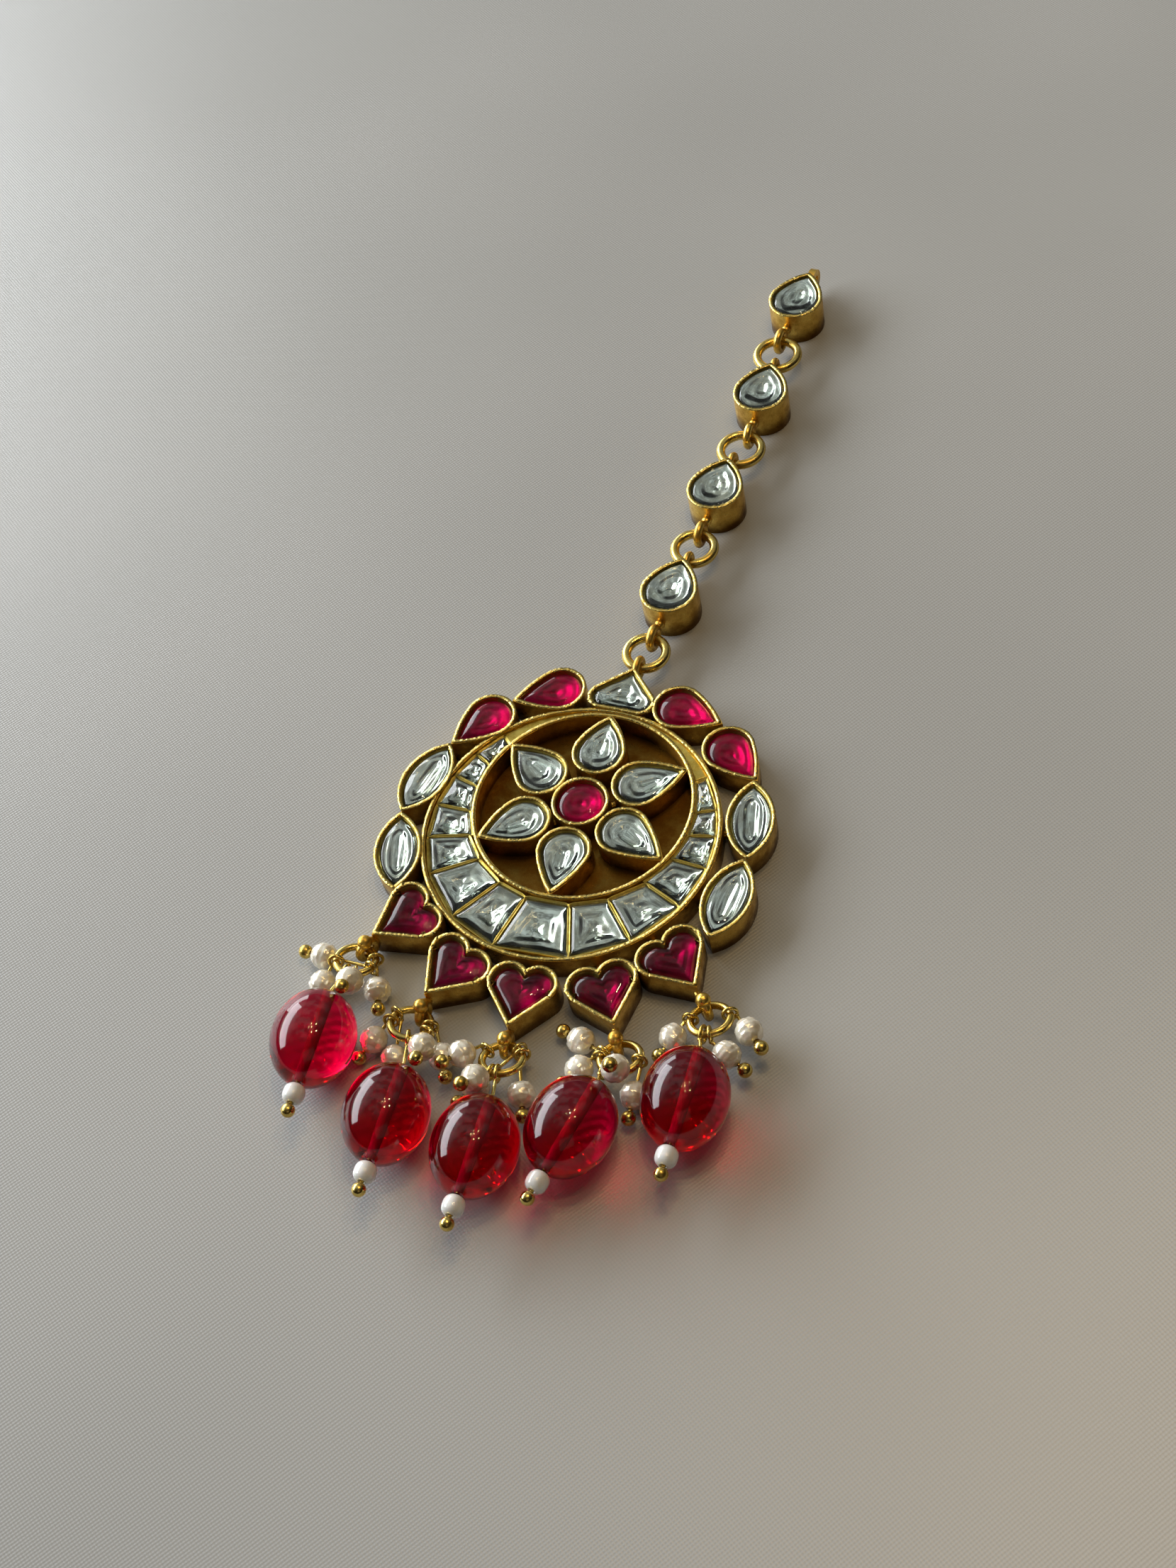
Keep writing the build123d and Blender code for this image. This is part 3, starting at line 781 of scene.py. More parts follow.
@dataclass
class StoneShape:
    """A stone over its foil cup, in one closed mesh: glass above the girdle, foil under it."""

    cut: Cut
    girdle: float
    crown: float
    cup: float
    bevel: float = 0.16
    bevel_rise: float = 0.5
    ridge: float = 1.5
    dome: float = 2.6
    spacing: float = 0.13 * MM
    rings: int = 24
    softening: int = 30
    soften_rate: float = 1.6
    crown_wave: float = 0.05 * MM
    wave_length: float = 2.2 * MM
    wave_rate: float = 3.0
    cup_wave: float = 0.09 * MM
    cup_power: float = 1.3
    cup_calm: float = 6.0
    folds: float = 2.6
    folds_round: float = 1.1
    ripple: float = 0.022 * MM
    ripples: float = 2.6
    ripple_rate: float = 4.0
    overlap: float = OVERLAP
    spine_share: float = 0.55
    spine_inset: float = 1.15

    def crown_height(self, share: float) -> float:
        """Gives the crown's height above the girdle.

        Args:
            share: how far in, from 0 at the edge to 1 at the spine.

        Returns:
            The height.
        """
        if self.cut is Cut.DOMED:
            return self.crown * math.sqrt(1 - (1 - share) ** self.dome)
        if share < self.bevel:
            return self.crown * self.bevel_rise * share / self.bevel
        inner = (share - self.bevel) / (1 - self.bevel)
        return self.crown * (self.bevel_rise + (1 - self.bevel_rise) * (1 - (1 - inner) ** self.ridge))

    def spine(self, outline: np.ndarray) -> tuple[np.ndarray, np.ndarray]:
        """Finds the line that the crown rises to.

        Args:
            outline: the girdle's points, in order.

        Returns:
            The line's two ends, the same point where the stone has no ridge.
        """
        centre = outline.mean(0)
        if self.cut is not Cut.RIDGED:
            return centre, centre
        _, _, axes = np.linalg.svd(outline - centre)
        along = (outline - centre) @ axes[0]
        across = (outline - centre) @ axes[1]
        low, high = along.min(), along.max()
        width = np.abs(across).max()
        inset = width * self.spine_inset
        inner_low = max(low + inset, low * self.spine_share) if low + width < 0 else 0
        inner_high = min(high - inset, high * self.spine_share) if high - width > 0 else 0
        return centre + axes[0] * inner_low, centre + axes[0] * inner_high

    def build(self, name: str, outline: np.ndarray, seed: float, glass: bpy.types.Material,
              foil: bpy.types.Material) -> bpy.types.Object:
        """Builds the stone on an outline.

        Args:
            name: the piece's name.
            outline: the girdle's points, in order.
            seed: shifts the waves of the cup and the crown.
            glass: material of the crown.
            foil: material of the cup.

        Returns:
            The new object.
        """
        girdle = spread_outline(smooth_outline(outline, self.spacing), self.overlap)
        start, end = self.spine(girdle)
        line = end - start
        length = max(line @ line, 1e-12)
        goal = start + line * np.clip(((girdle - start) @ line) / length, 0, 1)[:, None]
        soft = girdle.copy()
        for _ in range(self.softening):
            soft = (np.roll(soft, 1, 0) + soft * 2 + np.roll(soft, -1, 0)) / 4
        turn = np.linspace(0, 2 * np.pi, len(girdle), endpoint=False)
        rings, slots = [], []
        below = np.linspace(1, 0, self.rings)
        if self.cut is Cut.DOMED:
            above = 1 - np.cos(np.linspace(0, np.pi / 2, self.rings))[1:]
        else:
            above = np.r_[self.bevel * np.array([0.5, 0.94]), np.linspace(self.bevel * 1.1, 1, self.rings)]
        for share, top in [(share, False) for share in below] + [(share, True) for share in above]:
            base = girdle + (soft - girdle) * min(1.0, share * self.soften_rate)
            ring = base + (goal - base) * share
            if top:
                height = self.girdle + self.crown_height(share)
                swell = [noise.noise(Vector((x, y, seed * MM)) / self.wave_length) for x, y in ring]
                reach = self.crown_wave * min(1.0, share * self.wave_rate)
            else:
                height = self.girdle - self.cup * share ** self.cup_power
                ripple = math.sin(2 * np.pi * self.ripples * share + seed)
                height += self.ripple * ripple * min(1.0, share * self.ripple_rate)
                around = np.c_[np.cos(turn) * self.folds_round + seed, np.sin(turn) * self.folds_round]
                swell = [noise.noise(Vector((share * self.folds, x, y))) for x, y in around]
                reach = self.cup_wave * min(1.0, share * self.wave_rate) * (1 - share ** self.cup_calm)
            rings.append(np.c_[ring, height + np.array(swell) * reach])
            slots.append(0 if top else 1)
        slots[self.rings - 1] = 0
        return loft(name, rings, [glass, foil], slots)


# ---------------------------------------------------------------- rims, beds and wires by geometry nodes


def run_tree(piece: bpy.types.Object, tree: bpy.types.NodeTree, values: dict, name: str) -> bpy.types.Object:
    """Runs a Geometry Nodes tree on an object and keeps the result as a plain mesh.

    Args:
        piece: the source object, removed afterwards.
        tree: the tree.
        values: input name to its value.
        name: the new object's name.

    Returns:
        The new mesh object.
    """
    modifier = piece.modifiers.new(name, "NODES")
    modifier.node_group = tree
    for item in tree.interface.items_tree:
        if item.in_out == "INPUT" and item.name in values:
            modifier[item.identifier] = values[item.name]
    depsgraph = bpy.context.evaluated_depsgraph_get()
    mesh = bpy.data.meshes.new_from_object(piece.evaluated_get(depsgraph), depsgraph=depsgraph)
    mesh.name = name
    bpy.data.objects.remove(piece)
    return placed(name, mesh)


def curve_object(name: str, lines: list[np.ndarray], closed: bool) -> bpy.types.Object:
    """Makes a curve object of straight spans.

    Args:
        name: its name.
        lines: rows of points, one for each line.
        closed: whether each line's end joins its start.

    Returns:
        The new object.
    """
    curve = bpy.data.curves.new(name, "CURVE")
    curve.dimensions = "3D"
    for line in lines:
        spline = curve.splines.new("POLY")
        spline.points.add(len(line) - 1)
        spline.points.foreach_set("co", np.c_[line, np.ones(len(line))].ravel())
        spline.use_cyclic_u = closed
    return placed(name, curve)


class Rims:
    """Rolled, hammered edges that follow the tops of the walls."""

    foot: float = 0.12 * MM

    def __init__(self) -> None:
        """Builds the tree."""
        graph, given, out = new_group("rolled_rim", "GeometryNodeTree", {
            "Lines": ("NodeSocketGeometry",),
            "Section": ("NodeSocketObject",),
            "Unevenness": ("NodeSocketFloat", 0.16 * MM),
            "Hammer Scale": ("NodeSocketFloat", 3000.0),
            "Gold": ("NodeSocketMaterial",),
        }, {"Rims": "NodeSocketGeometry"})
        upright = graph.add("GeometryNodeSetCurveNormal", {"Curve": given["Lines"]}, mode="Z_UP")
        section = graph.add("GeometryNodeObjectInfo", {"Object": given["Section"]})
        swept = graph.add("GeometryNodeCurveToMesh", {"Curve": upright.outputs[0],
                                                      "Profile Curve": section.outputs["Geometry"]})
        place = graph.add("GeometryNodeInputPosition")
        dents = graph.add("ShaderNodeTexNoise", {"Vector": place.outputs[0], "Scale": given["Hammer Scale"],
                                                 "Detail": 2.0})
        centred = graph.vector("SUBTRACT", dents.outputs[1], (0.5, 0.5, 0.5))
        shift = graph.add("ShaderNodeVectorMath", {0: centred.outputs[0], "Scale": given["Unevenness"]},
                          operation="SCALE")
        moved = graph.add("GeometryNodeSetPosition", {"Geometry": swept.outputs[0],
                                                      "Offset": shift.outputs[0]})
        smooth = graph.add("GeometryNodeSetShadeSmooth", {0: moved.outputs[0]})
        real = graph.add("GeometryNodeRealizeInstances", {0: smooth.outputs[0]})
        golden = graph.add("GeometryNodeSetMaterial", {"Geometry": real.outputs[0],
                                                       "Material": given["Gold"]})
        graph.fill(out, {"Rims": golden.outputs[0]})
        self.tree = graph.tree

    def build(self, name: str, lines: list[np.ndarray], width: float, height: float, groove: float,
              gold: bpy.types.Material) -> bpy.types.Object:
        """Sweeps a grooved section along closed lines.

        Args:
            name: the piece's name.
            lines: closed rows of points along the middle of each wall's top.
            width: the rim's width.
            height: how far it stands above the lines.
            groove: depth of the groove along its middle.
            gold: its material.

        Returns:
            The rims as one mesh.
        """
        half = width / 2
        shape = [(-half, -self.foot), (-half, height * 0.35), (-half * 0.8, height * 0.9),
                 (-half * 0.45, height), (-half * 0.12, height - groove * 0.7),
                 (half * 0.02, height - groove), (half * 0.18, height - groove * 0.6),
                 (half * 0.5, height * 0.96), (half * 0.82, height * 0.82), (half, height * 0.3),
                 (half, -self.foot)]
        section = curve_object(f"{name}_section", [np.array([(x, y, 0.0) for x, y in shape])], closed=True)
        source = curve_object(f"{name}_lines", lines, closed=True)
        piece = run_tree(source, self.tree, {"Section": section, "Gold": gold}, name)
        bpy.data.objects.remove(section)
        return piece


@dataclass(frozen=True)
class BeadForm:
    """A bead's outline and its skin."""

    wrinkle: float
    wrinkle_scale: float
    squareness: float = 2.0
    ring_depth: float = 0.0
    ring_count: float = 0.0
    sides: int = 28


class StrungBeads:
    """Pierced beads set on points, each turned to its thread and wrinkled in its own way."""

    def __init__(self) -> None:
        """Builds the tree."""
        graph, given, out = new_group("strung_beads", "GeometryNodeTree", {
            "Places": ("NodeSocketGeometry",),
            "Bead": ("NodeSocketObject",),
            "Wrinkle": ("NodeSocketFloat", 0.05 * MM),
            "Wrinkle Scale": ("NodeSocketFloat", 900.0),
            "Skin": ("NodeSocketMaterial",),
            "Bore Skin": ("NodeSocketMaterial",),
        }, {"Beads": "NodeSocketGeometry"})
        thread = graph.add("GeometryNodeInputNamedAttribute", {"Name": "thread"}, data_type="FLOAT_VECTOR")
        facing = graph.add("FunctionNodeAlignRotationToVector", {"Vector": thread.outputs[0]}, axis="Z")
        bead = graph.add("GeometryNodeObjectInfo", {"Object": given["Bead"], "As Instance": True})
        strung = graph.add("GeometryNodeInstanceOnPoints", {"Points": given["Places"],
                                                            "Instance": bead.outputs["Geometry"],
                                                            "Rotation": facing.outputs[0]})
        real = graph.add("GeometryNodeRealizeInstances", {0: strung.outputs[0]})
        place = graph.add("GeometryNodeInputPosition")
        lumps = graph.add("ShaderNodeTexNoise", {"Vector": place.outputs[0], "Scale": given["Wrinkle Scale"],
                                                 "Detail": 1.0, "Distortion": 1.2})
        inward = graph.maths("MULTIPLY", graph.maths("SUBTRACT", lumps.outputs[0], 1.0), given["Wrinkle"])
        normal = graph.add("GeometryNodeInputNormal")
        shift = graph.add("ShaderNodeVectorMath", {0: normal.outputs[0], "Scale": inward}, operation="SCALE")
        moved = graph.add("GeometryNodeSetPosition", {"Geometry": real.outputs[0],
                                                      "Offset": shift.outputs[0]})
        smooth = graph.add("GeometryNodeSetShadeSmooth", {0: moved.outputs[0]})
        part = graph.add("GeometryNodeInputMaterialIndex")
        in_bore = graph.add("FunctionNodeCompare", {2: part.outputs[0], 3: 0}, data_type="INT",
                            operation="GREATER_THAN")
        outside = graph.add("FunctionNodeBooleanMath", {0: in_bore.outputs[0]}, operation="NOT")
        skinned = graph.add("GeometryNodeSetMaterial", {"Geometry": smooth.outputs[0],
                                                        "Selection": outside.outputs[0],
                                                        "Material": given["Skin"]})
        bored = graph.add("GeometryNodeSetMaterial", {"Geometry": skinned.outputs[0],
                                                      "Selection": in_bore.outputs[0],
                                                      "Material": given["Bore Skin"]})
        graph.fill(out, {"Beads": bored.outputs[0]})
        self.tree = graph.tree

    def build(self, name: str, beads: list[Shell], form: BeadForm,
              skins: list[bpy.types.Material]) -> bpy.types.Object:
        """Strings one bead on each shell's place.

        Args:
            name: the piece's name.
            beads: the shells that the beads take the place of.
            form: the beads' outline and wrinkles.
            skins: the materials of the outside and the bore.

        Returns:
            The beads as one mesh.
        """
        _, half, radius, bore = beads[0].measures()
        source = pierced_bead(f"{name}_source", half, radius, bore, form, skins)
        mesh = bpy.data.meshes.new(f"{name}_places")
        mesh.from_pydata([tuple(bead.centre) for bead in beads], [], [])
        mesh.attributes.new("thread", "FLOAT_VECTOR", "POINT")
        threads = np.array([bead.measures()[0] for bead in beads])
        mesh.attributes["thread"].data.foreach_set("vector", threads.ravel())
        places = placed(f"{name}_places", mesh)
        values = {"Bead": source, "Wrinkle": form.wrinkle, "Wrinkle Scale": form.wrinkle_scale,
                  "Skin": skins[0], "Bore Skin": skins[-1]}
        piece = run_tree(places, self.tree, values, name)
        bpy.data.objects.remove(source)
        return piece


def pierced_bead(name: str, half: float, radius: float, bore: float, form: BeadForm,
                 skins: list[bpy.types.Material]) -> bpy.types.Object:
    """Makes a bead round the Z axis with a straight hole through it.

    Args:
        name: the piece's name.
        half: half its length.
        radius: its radius.
        bore: the hole's radius.
        form: its outline and its rings.
        skins: the materials of its outside and its bore.

    Returns:
        The bead as a closed mesh.
    """
    power = form.squareness
    tip = half / (1 - (bore / radius) ** power) ** (1 / power)
    first = math.asin(min(1.0, (bore / radius) ** (power / 2)))
    turn = np.linspace(first, np.pi - first, form.sides)
    rings_worn = form.ring_depth * (1 - np.cos(turn * form.ring_count)) / 2
    out = radius * np.sin(turn) ** (2 / power) * (1 - rings_worn)
    along = tip * np.sign(np.cos(turn)) * np.abs(np.cos(turn)) ** (2 / power)
    bore_rows = np.linspace(along[-1], along[0], 7)[1:-1]
    rows = list(zip(out, along)) + [(bore, height) for height in bore_rows]
    angles = np.linspace(0, 2 * np.pi, form.sides * 2, endpoint=False)
    rings = [np.c_[r * np.cos(angles), r * np.sin(angles), np.full(len(angles), z)] for r, z in rows]
    slots = [0] * (form.sides - 1) + [len(skins) - 1] * (len(bore_rows) + 1)
    return loft(name, rings, skins, slots, closed=True)


def packed_bed(name: str, line: np.ndarray, reach: np.ndarray, low: float, high: float,
               finishes: Finishes) -> bpy.types.Object:
    """Packs foil between a stone and the wall round it.

    Args:
        name: the piece's name.
        line: the stone's edge, in order.
        reach: how far the foil goes out from the edge at each point.
        low: height of the foil under the edge.
        high: height where it meets the wall.
        finishes: the ornament's finishes.

    Returns:
        The foil as a closed strip.
    """
    rise, root, lip = high - low, -0.3 * MM, 0.02 * MM
    section = ((-0.16, root), (-0.12, -0.03 * MM), (0.1, 0.1 * rise + lip), (0.45, 0.5 * rise),
               (0.8, 0.85 * rise), (1.0, rise), (1.0, root))  # share of the reach, height over the edge
    rings = []
    for share, lift in section:
        ring = spread_outline(line, reach * share)
        rings.append(np.c_[ring, np.full(len(ring), low + lift)])
    return loft(name, rings, [finishes.material(finishes.bed)], closed=True)


# ---------------------------------------------------------------- the ornament


def set_stone(name: str, outline: np.ndarray, top: float, girdle: float, margin: float, wall: float,
              finishes: Finishes) -> tuple[np.ndarray, bpy.types.Object]:
    """Draws the line of the rim round one stone and packs the foil under it.

    Args:
        name: the stone's name.
        outline: its foot, in order.
        top: height of the wall round it.
        girdle: height of the stone's edge.
        margin: from the foot's outline to the middle of the wall.
        wall: the wall's width.
        finishes: the ornament's finishes.

    Returns:
        The line along the top of the wall and the foil.
    """
    fine = smooth_outline(outline, spacing=0.12 * MM)
    middle = smooth_outline(spread_outline(fine, margin), spacing=0.1 * MM)
    reach = np.full(len(fine), margin - OVERLAP - wall / 2 + BITE)
    bed = packed_bed(f"{name}_bed", spread_outline(fine, OVERLAP), reach, girdle, top - SINK, finishes)
    return np.c_[middle, np.full(len(middle), top)], bed


@dataclass
class Medallion:
    """The soldered frame, its stones and the foil round them."""

    finishes: Finishes
    rims: Rims
    wall: float = 0.42 * MM
    margin: float = 0.28 * MM
    heart_margin: float = 0.4 * MM
    ring_radius: float = 16.75 * MM
    inner_radius: float = 12.5 * MM
    inner_centre: tuple[float, float] = (0.15 * MM, 3.7 * MM)
    ring_top: float = 3.2 * MM
    ring_spacing: float = 0.11 * MM
    collet_top: float = 3.35 * MM
    heart_top: float = 3.45 * MM
    petal_top: float = 3.3 * MM
    centre_top: float = 3.4 * MM
    ruby_depth: float = 0.6 * MM
    clear_depth: float = 0.3 * MM
    bar_girdle: float = 2.8 * MM
    bar_reach: float = 0.33 * MM
    bar_seed: float = 7.3
    horns: tuple[float, float] = (40.3, 138.7)
    horn_steps: int = 150
    foil_sink: float = 0.25 * MM
    horn_depth: float = 0.9 * MM
    horn_dent: float = 0.06 * MM
    horn_dent_length: float = 0.9 * MM

    def build(self, nodes: dict[str, bpy.types.Object]) -> None:
        """Builds and mounts every piece of the medallion.

        Args:
            nodes: the frame's nodes, by name.
        """
        material = self.finishes.material
        nodes["medallion_frame"].data.materials[0] = material(self.finishes.wall)
        tops = {"petal": self.petal_top, "heart": self.heart_top, "centre": self.centre_top}
        stones = [name for name in sorted(nodes) if name.startswith("petal_stone") or name.endswith("_stone")]
        lines, beds = [], []
        for name in stones:
            kind = name.split("_")[0]
            red = kind in ("heart", "pear", "centre")
            top = tops.get(kind, self.collet_top)
            girdle = top - (self.ruby_depth if red else self.clear_depth)
            margin = (self.heart_margin if kind == "heart" else self.margin) + self.wall / 2
            outline = shells(nodes[name])[0].foot_outline()
            line, bed = set_stone(name, outline, top, girdle, margin, self.wall, self.finishes)
            lines.append(line)
            beds.append(bed)
            if red:
                shape = StoneShape(Cut.DOMED, girdle, crown=0.85 * MM, cup=0.35 * MM, cup_wave=0.04 * MM)
                glass = self.finishes.heart if kind == "heart" else self.finishes.ruby
                foil, slot = self.finishes.ruby_foil, "ruby"
            else:
                shape = StoneShape(Cut.RIDGED, girdle, crown=0.5 * MM, cup=0.17 * MM)
                glass, foil, slot = self.finishes.clear, self.finishes.silver_foil, "clear_stone"
            stone = shape.build(f"{name}_cut", outline, sum(map(ord, name)), material(glass), material(foil))
            mount(stone, slot, name)
        for centre, radius in (((0.0, 0.0), self.ring_radius), (self.inner_centre, self.inner_radius)):
            turn = np.linspace(0, 2 * np.pi, round(2 * np.pi * radius / self.ring_spacing), endpoint=False)
            ring = np.c_[centre[0] + radius * np.cos(turn), centre[1] + radius * np.sin(turn)]
            lines.append(np.c_[ring, np.full(len(ring), self.ring_top)])
        rims = self.rims.build("collet_rims", lines, width=0.4 * MM, height=0.1 * MM, groove=0.09 * MM,
                               gold=material(self.finishes.rim))
        mount(rims, "gold")
        mount(join_meshes("setting_foil", beds), "gold")
        self.build_crescent(nodes)

    def build_crescent(self, nodes: dict[str, bpy.types.Object]) -> None:
        """Builds the bar stones between the rings and the foil round them.

        Args:
            nodes: the frame's nodes, by name.
        """
        clear = self.finishes.material(self.finishes.clear)
        foil = self.finishes.material(self.finishes.silver_foil)
        outlines = [shell.foot_outline() for shell in shells(nodes["crescent_stones"])]
        shape = StoneShape(Cut.TABLET, self.bar_girdle, crown=0.6 * MM, cup=0.26 * MM, bevel=0.2, ridge=1.25,
                           overlap=0.06 * MM)
        stones = [shape.build(f"bar_{number}", outline, number * self.bar_seed, clear, foil)
                  for number, outline in enumerate(outlines)]
        mount(join_meshes("crescent_cut", stones), "clear_stone", "crescent_stones")
        beds = []
        for number, outline in enumerate(outlines):
            line = smooth_outline(outline, spacing=0.15 * MM)
            others = np.vstack(outlines[:number] + outlines[number + 1:])
            room = np.linalg.norm(line[:, None] - others[None], axis=2).min(1)
            reach = np.minimum(room / 2 + BITE, self.bar_reach)
            beds.append(packed_bed(f"bed_{number}", line, reach, self.bar_girdle - 0.05 * MM,
                                   self.ring_top - self.foil_sink, self.finishes))
        beds.append(self.horn_foil())
        mount(join_meshes("crescent_bed", beds), "gold")

    def horn_foil(self) -> bpy.types.Object:
        """Builds the foil that fills the crescent's narrow horns, past the last bar stones.

        Returns:
            The foil as a closed mesh.
        """
        centre = np.array(self.inner_centre)
        across = np.linspace(0, 1, 7)
        rings = []
        for angle in np.radians(np.linspace(*self.horns, self.horn_steps)):
            direction = np.array([np.cos(angle), np.sin(angle)])
            along = centre @ direction
            inner = along + math.sqrt((self.inner_radius + self.wall / 2) ** 2 - centre @ centre + along ** 2)
            reach = inner + (self.ring_radius - self.wall / 2 - inner) * across
            top = [(*direction * r, self.ring_top - self.foil_sink) for r in reach]
            dents = [noise.noise(Vector(point) / self.horn_dent_length) * self.horn_dent for point in top]
            top = [(x, y, z + dent) for (x, y, z), dent in zip(top, dents)]
            foot = [(*direction * r, self.ring_top - self.horn_depth) for r in (reach[-1], reach[0])]
            rings.append(np.array(top + foot))
        ends = [np.tile(ring.mean(0), (len(ring), 1)) for ring in (rings[0], rings[-1])]
        return loft("horn_foil", [ends[0], *rings, ends[1]], [self.finishes.material(self.finishes.bed)])


@dataclass
class Chain:
    """The collet links, their stones and the jump rings."""

    finishes: Finishes
    rims: Rims
    links: int = 4
    inset: float = 0.6 * MM
    wall: float = 0.45 * MM
    top: float = 4.4 * MM
    depth: float = 0.3 * MM

    def build(self, nodes: dict[str, bpy.types.Object]) -> None:
        """Builds and mounts every piece of the chain.

        Args:
            nodes: the frame's nodes, by name.
        """
        material = self.finishes.material
        clear, foil = material(self.finishes.clear), material(self.finishes.silver_foil)
        shape = StoneShape(Cut.RIDGED, self.top - self.depth, crown=0.5 * MM, cup=0.17 * MM)
        lines, beds = [], []
        for number in range(1, self.links + 1):
            nodes[f"chain_link_{number}"].data.materials[0] = material(self.finishes.wall)
            nodes[f"chain_ring_{number}"].data.materials[0] = material(self.finishes.wire)
            name = f"chain_stone_{number}"
            outline = shells(nodes[name])[0].foot_outline()
            margin = self.inset - self.wall / 2
            line, bed = set_stone(name, outline, self.top, shape.girdle, margin, self.wall, self.finishes)
            lines.append(line)
            beds.append(bed)
            mount(shape.build(f"{name}_cut", outline, sum(map(ord, name)), clear, foil), "clear_stone", name)
        rims = self.rims.build("link_rims", lines, width=0.44 * MM, height=0.1 * MM, groove=0.08 * MM,
                               gold=material(self.finishes.rim))
        mount(rims, "gold")
        mount(join_meshes("link_foil", beds), "gold")


@dataclass
class Pendants:
    """The five drops: jump rings, glass ovals, pearls and their pins."""

    finishes: Finishes
    strung: StrungBeads
    drops: int = 5
    oval: BeadForm = BeadForm(wrinkle=0.02 * MM, wrinkle_scale=200.0, sides=40)
    pearl: BeadForm = BeadForm(wrinkle=0.26 * MM, wrinkle_scale=900.0, ring_depth=0.03, ring_count=16.0)
    drum: BeadForm = BeadForm(wrinkle=0.04 * MM, wrinkle_scale=500.0, squareness=2.6)

    def build(self, nodes: dict[str, bpy.types.Object]) -> None:
        """Builds and mounts every piece of the drops.

        Args:
            nodes: the frame's nodes, by name.
        """
        material = self.finishes.material
        wire, pearl = material(self.finishes.wire), material(self.finishes.pearl)
        glass = [material(self.finishes.red), material(self.finishes.bore)]
        for number in range(1, self.drops + 1):
            nodes[f"drop_ring_{number}"].data.materials[0] = wire
            nodes[f"bead_pin_{number}"].data.materials[0] = wire
            bead, pearls = f"glass_bead_{number}", f"pearls_{number}"
            piece = self.strung.build(f"{bead}_smooth", shells(nodes[bead]), self.oval, glass)
            mount(piece, "red_glass", bead)
            piece = self.strung.build(f"{pearls}_skin", shells(nodes[pearls]), self.pearl, [pearl])
            mount(piece, "pearl", pearls)
        nodes["pearl_pins"].data.materials[0] = wire
        drums = self.strung.build("end_beads_drum", shells(nodes["end_beads"]), self.drum,
                                  [material(self.finishes.porcelain)])
        mount(drums, "pearl", "end_beads")


# ---------------------------------------------------------------- the studio


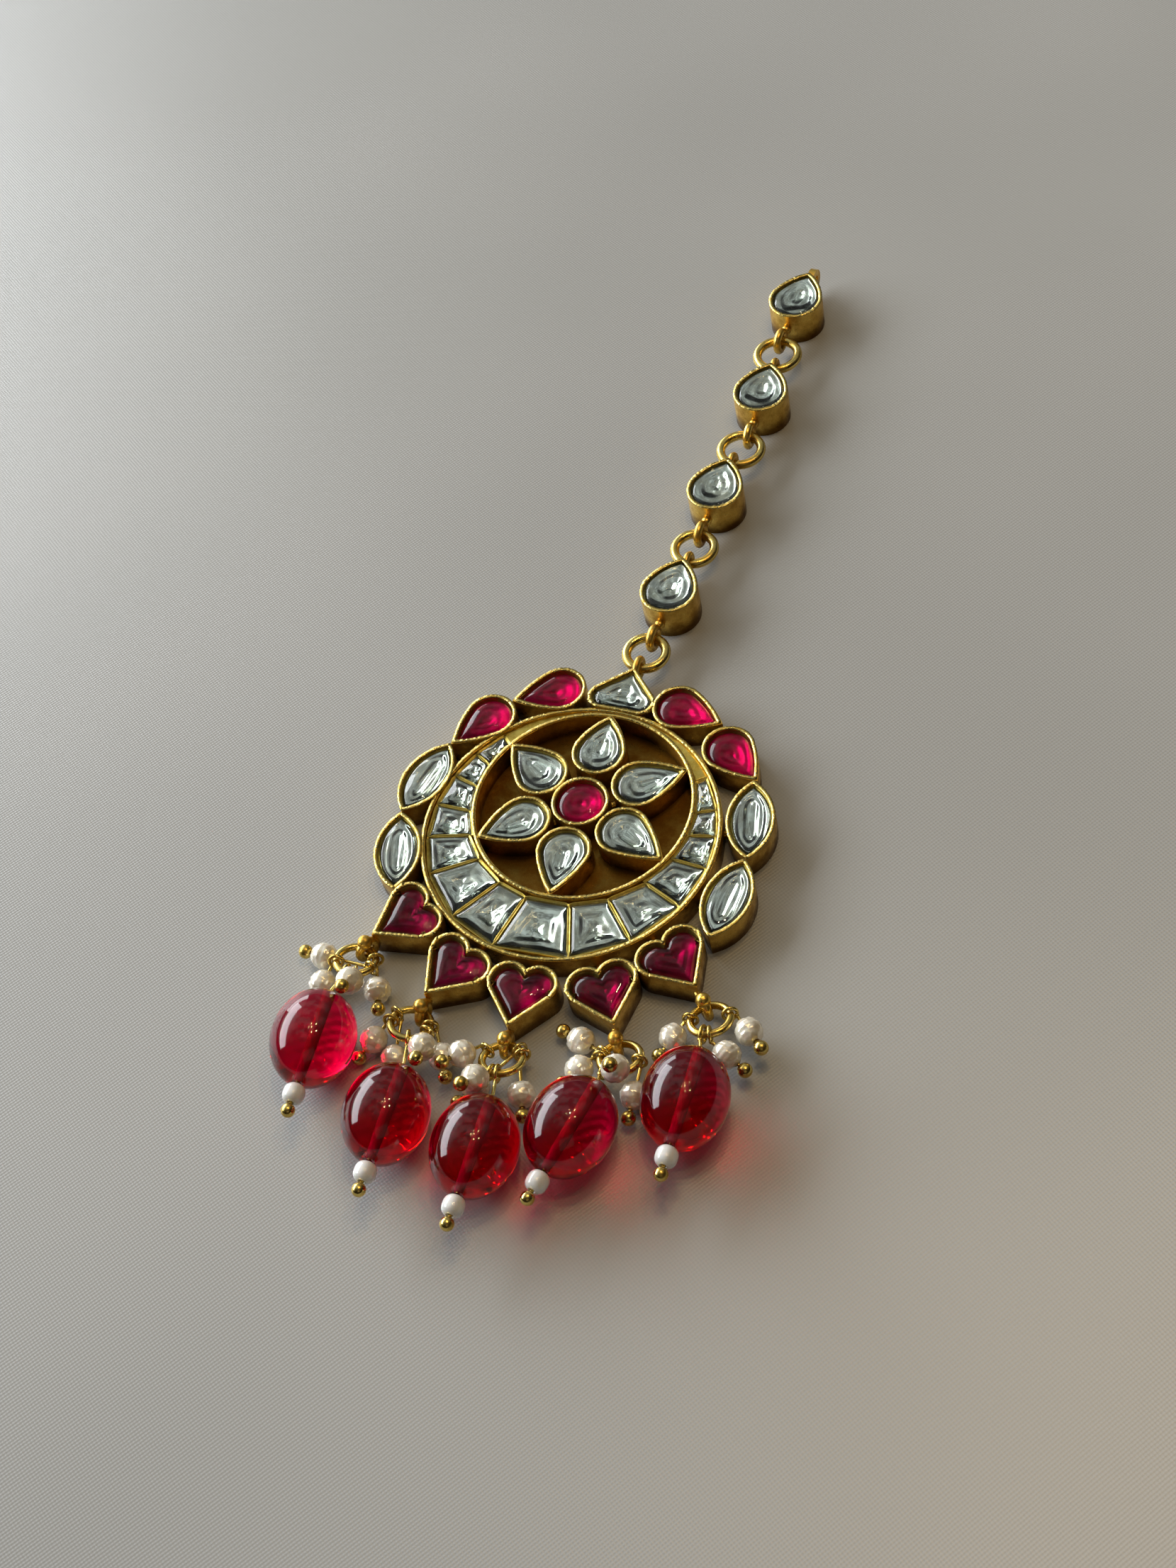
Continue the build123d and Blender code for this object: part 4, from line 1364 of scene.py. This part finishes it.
@dataclass
class Studio:
    """The floor, the lamps, the room and the camera."""

    finishes: Finishes
    floor_size: float = 2.4
    warm_lamps: tuple[Place, ...] = ((0.03, 0.17, 0.57), (0.07, 0.12, 0.58), (0.0, 0.1, 0.6),
                                     (0.14, 0.2, 0.55), (0.12, 0.03, 0.6), (0.22, 0.08, 0.55))
    lens: float = 49.91
    near: float = 0.01
    eye: Place = (0.07954, -0.11765, 0.19834)
    right: Place = (0.92604, 0.34110, -0.16156)
    down: Place = (0.19022, -0.79151, -0.58080)
    forward: Place = (-0.32599, 0.50711, -0.79785)

    def build(self) -> None:
        """Builds the stage."""
        corners = np.array([(-1, -1, 0), (1, -1, 0), (1, 1, 0), (-1, 1, 0)]) * self.floor_size / 2
        mesh_object("floor", corners, [(0, 1, 2, 3)], [self.finishes.material(self.finishes.cloth)])
        self.camera()
        self.lamp("window", (-1.36, 0.19, 0.66), (1.9, 0.62), 31.0, (0.9, 0.955, 1.0))
        self.lamp("low_window", (-1.0, 0.83, 0.18), (0.7, 0.3), 4.0, (0.95, 0.97, 1.0))
        self.lamp("fill", (0.35, -0.55, 0.55), (0.5, 0.4), 0.12, (1.0, 0.88, 0.74))
        for number, place in enumerate(self.warm_lamps):
            self.lamp(f"warm_lamp_{number}", place, (0.01, 0.01), 0.13, (1.0, 0.68, 0.3))
        self.room()
        bpy.context.scene.view_settings.view_transform = "Standard"

    def room(self) -> None:
        """Builds the dim room: darker on one side, with the window's glow and an uneven pale ceiling."""
        world = bpy.data.worlds.new("room")
        world.use_nodes = True
        bpy.context.scene.world = world
        graph = Graph(world.node_tree)
        world.node_tree.nodes.clear()
        place = graph.add("ShaderNodeTexCoord").outputs["Generated"]
        facing = graph.vector("DOT_PRODUCT", place, (-0.5, 0.55, 0.67)).outputs["Value"]
        tone = graph.blend(graph.span(facing, -0.2, 1.0), (0.014, 0.01, 0.007, 1), (0.1, 0.1, 0.095, 1))
        flat = graph.vector("MULTIPLY", place, (1.0, 1.0, 2.2)).outputs["Vector"]
        level = graph.vector("NORMALIZE", flat).outputs["Vector"]
        toward = graph.vector("DOT_PRODUCT", level, (-0.72, 0.18, 0.67)).outputs["Value"]
        glow = graph.maths("POWER", graph.span(toward, 0.8, 1.0), 2.0)
        tone = graph.blend(graph.maths("MULTIPLY", glow, 1.5), tone, (1.0, 0.98, 0.95, 1), "ADD")
        above = graph.vector("DOT_PRODUCT", place, (-0.33, 0.51, 0.8)).outputs["Value"]
        patches = graph.span(graph.grain(place, 5.0, 2.0), 0.42, 0.58, 0.25, 1.3)
        ceiling = graph.maths("MULTIPLY", graph.span(above, 0.5, 0.98), patches)
        tone = graph.blend(graph.maths("MULTIPLY", ceiling, 0.35), tone, (0.93, 1.0, 0.97, 1), "ADD")
        background = graph.add("ShaderNodeBackground", {"Color": tone, "Strength": 1.0})
        graph.add("ShaderNodeOutputWorld", {0: background.outputs[0]})

    def camera(self) -> None:
        """Places the camera above the drops, tilted down along the chain."""
        data = bpy.data.cameras.new("camera")
        data.lens = self.lens
        data.clip_start = self.near
        camera = placed("camera", data)
        turn = Matrix((Vector(self.right), -Vector(self.down), -Vector(self.forward))).transposed().to_4x4()
        camera.matrix_world = Matrix.Translation(self.eye) @ turn
        bpy.context.scene.camera = camera

    def lamp(self, name: str, place: Place, size: tuple[float, float], power: float, colour: Place) -> None:
        """Adds an area lamp aimed at the ornament.

        Args:
            name: its name.
            place: where it stands.
            size: its width and its height.
            power: its power in watts.
            colour: its colour.
        """
        data = bpy.data.lights.new(name, "AREA")
        data.shape = "RECTANGLE"
        data.size, data.size_y = size
        data.energy = power
        data.color = colour
        lamp = placed(name, data)
        lamp.location = place
        lamp.rotation_euler = (-Vector(place)).to_track_quat("-Z", "Y").to_euler()


def main() -> None:
    """Builds the ornament and its studio."""
    logging.basicConfig(level=logging.INFO, format="%(name)s %(message)s")
    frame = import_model()
    finishes = Finishes()
    Studio(finishes).build()
    rims = Rims()
    Medallion(finishes, rims).build(frame["nodes"])
    Chain(finishes, rims).build(frame["nodes"])
    Pendants(finishes, StrungBeads()).build(frame["nodes"])


if __name__ == "__main__":
    main()
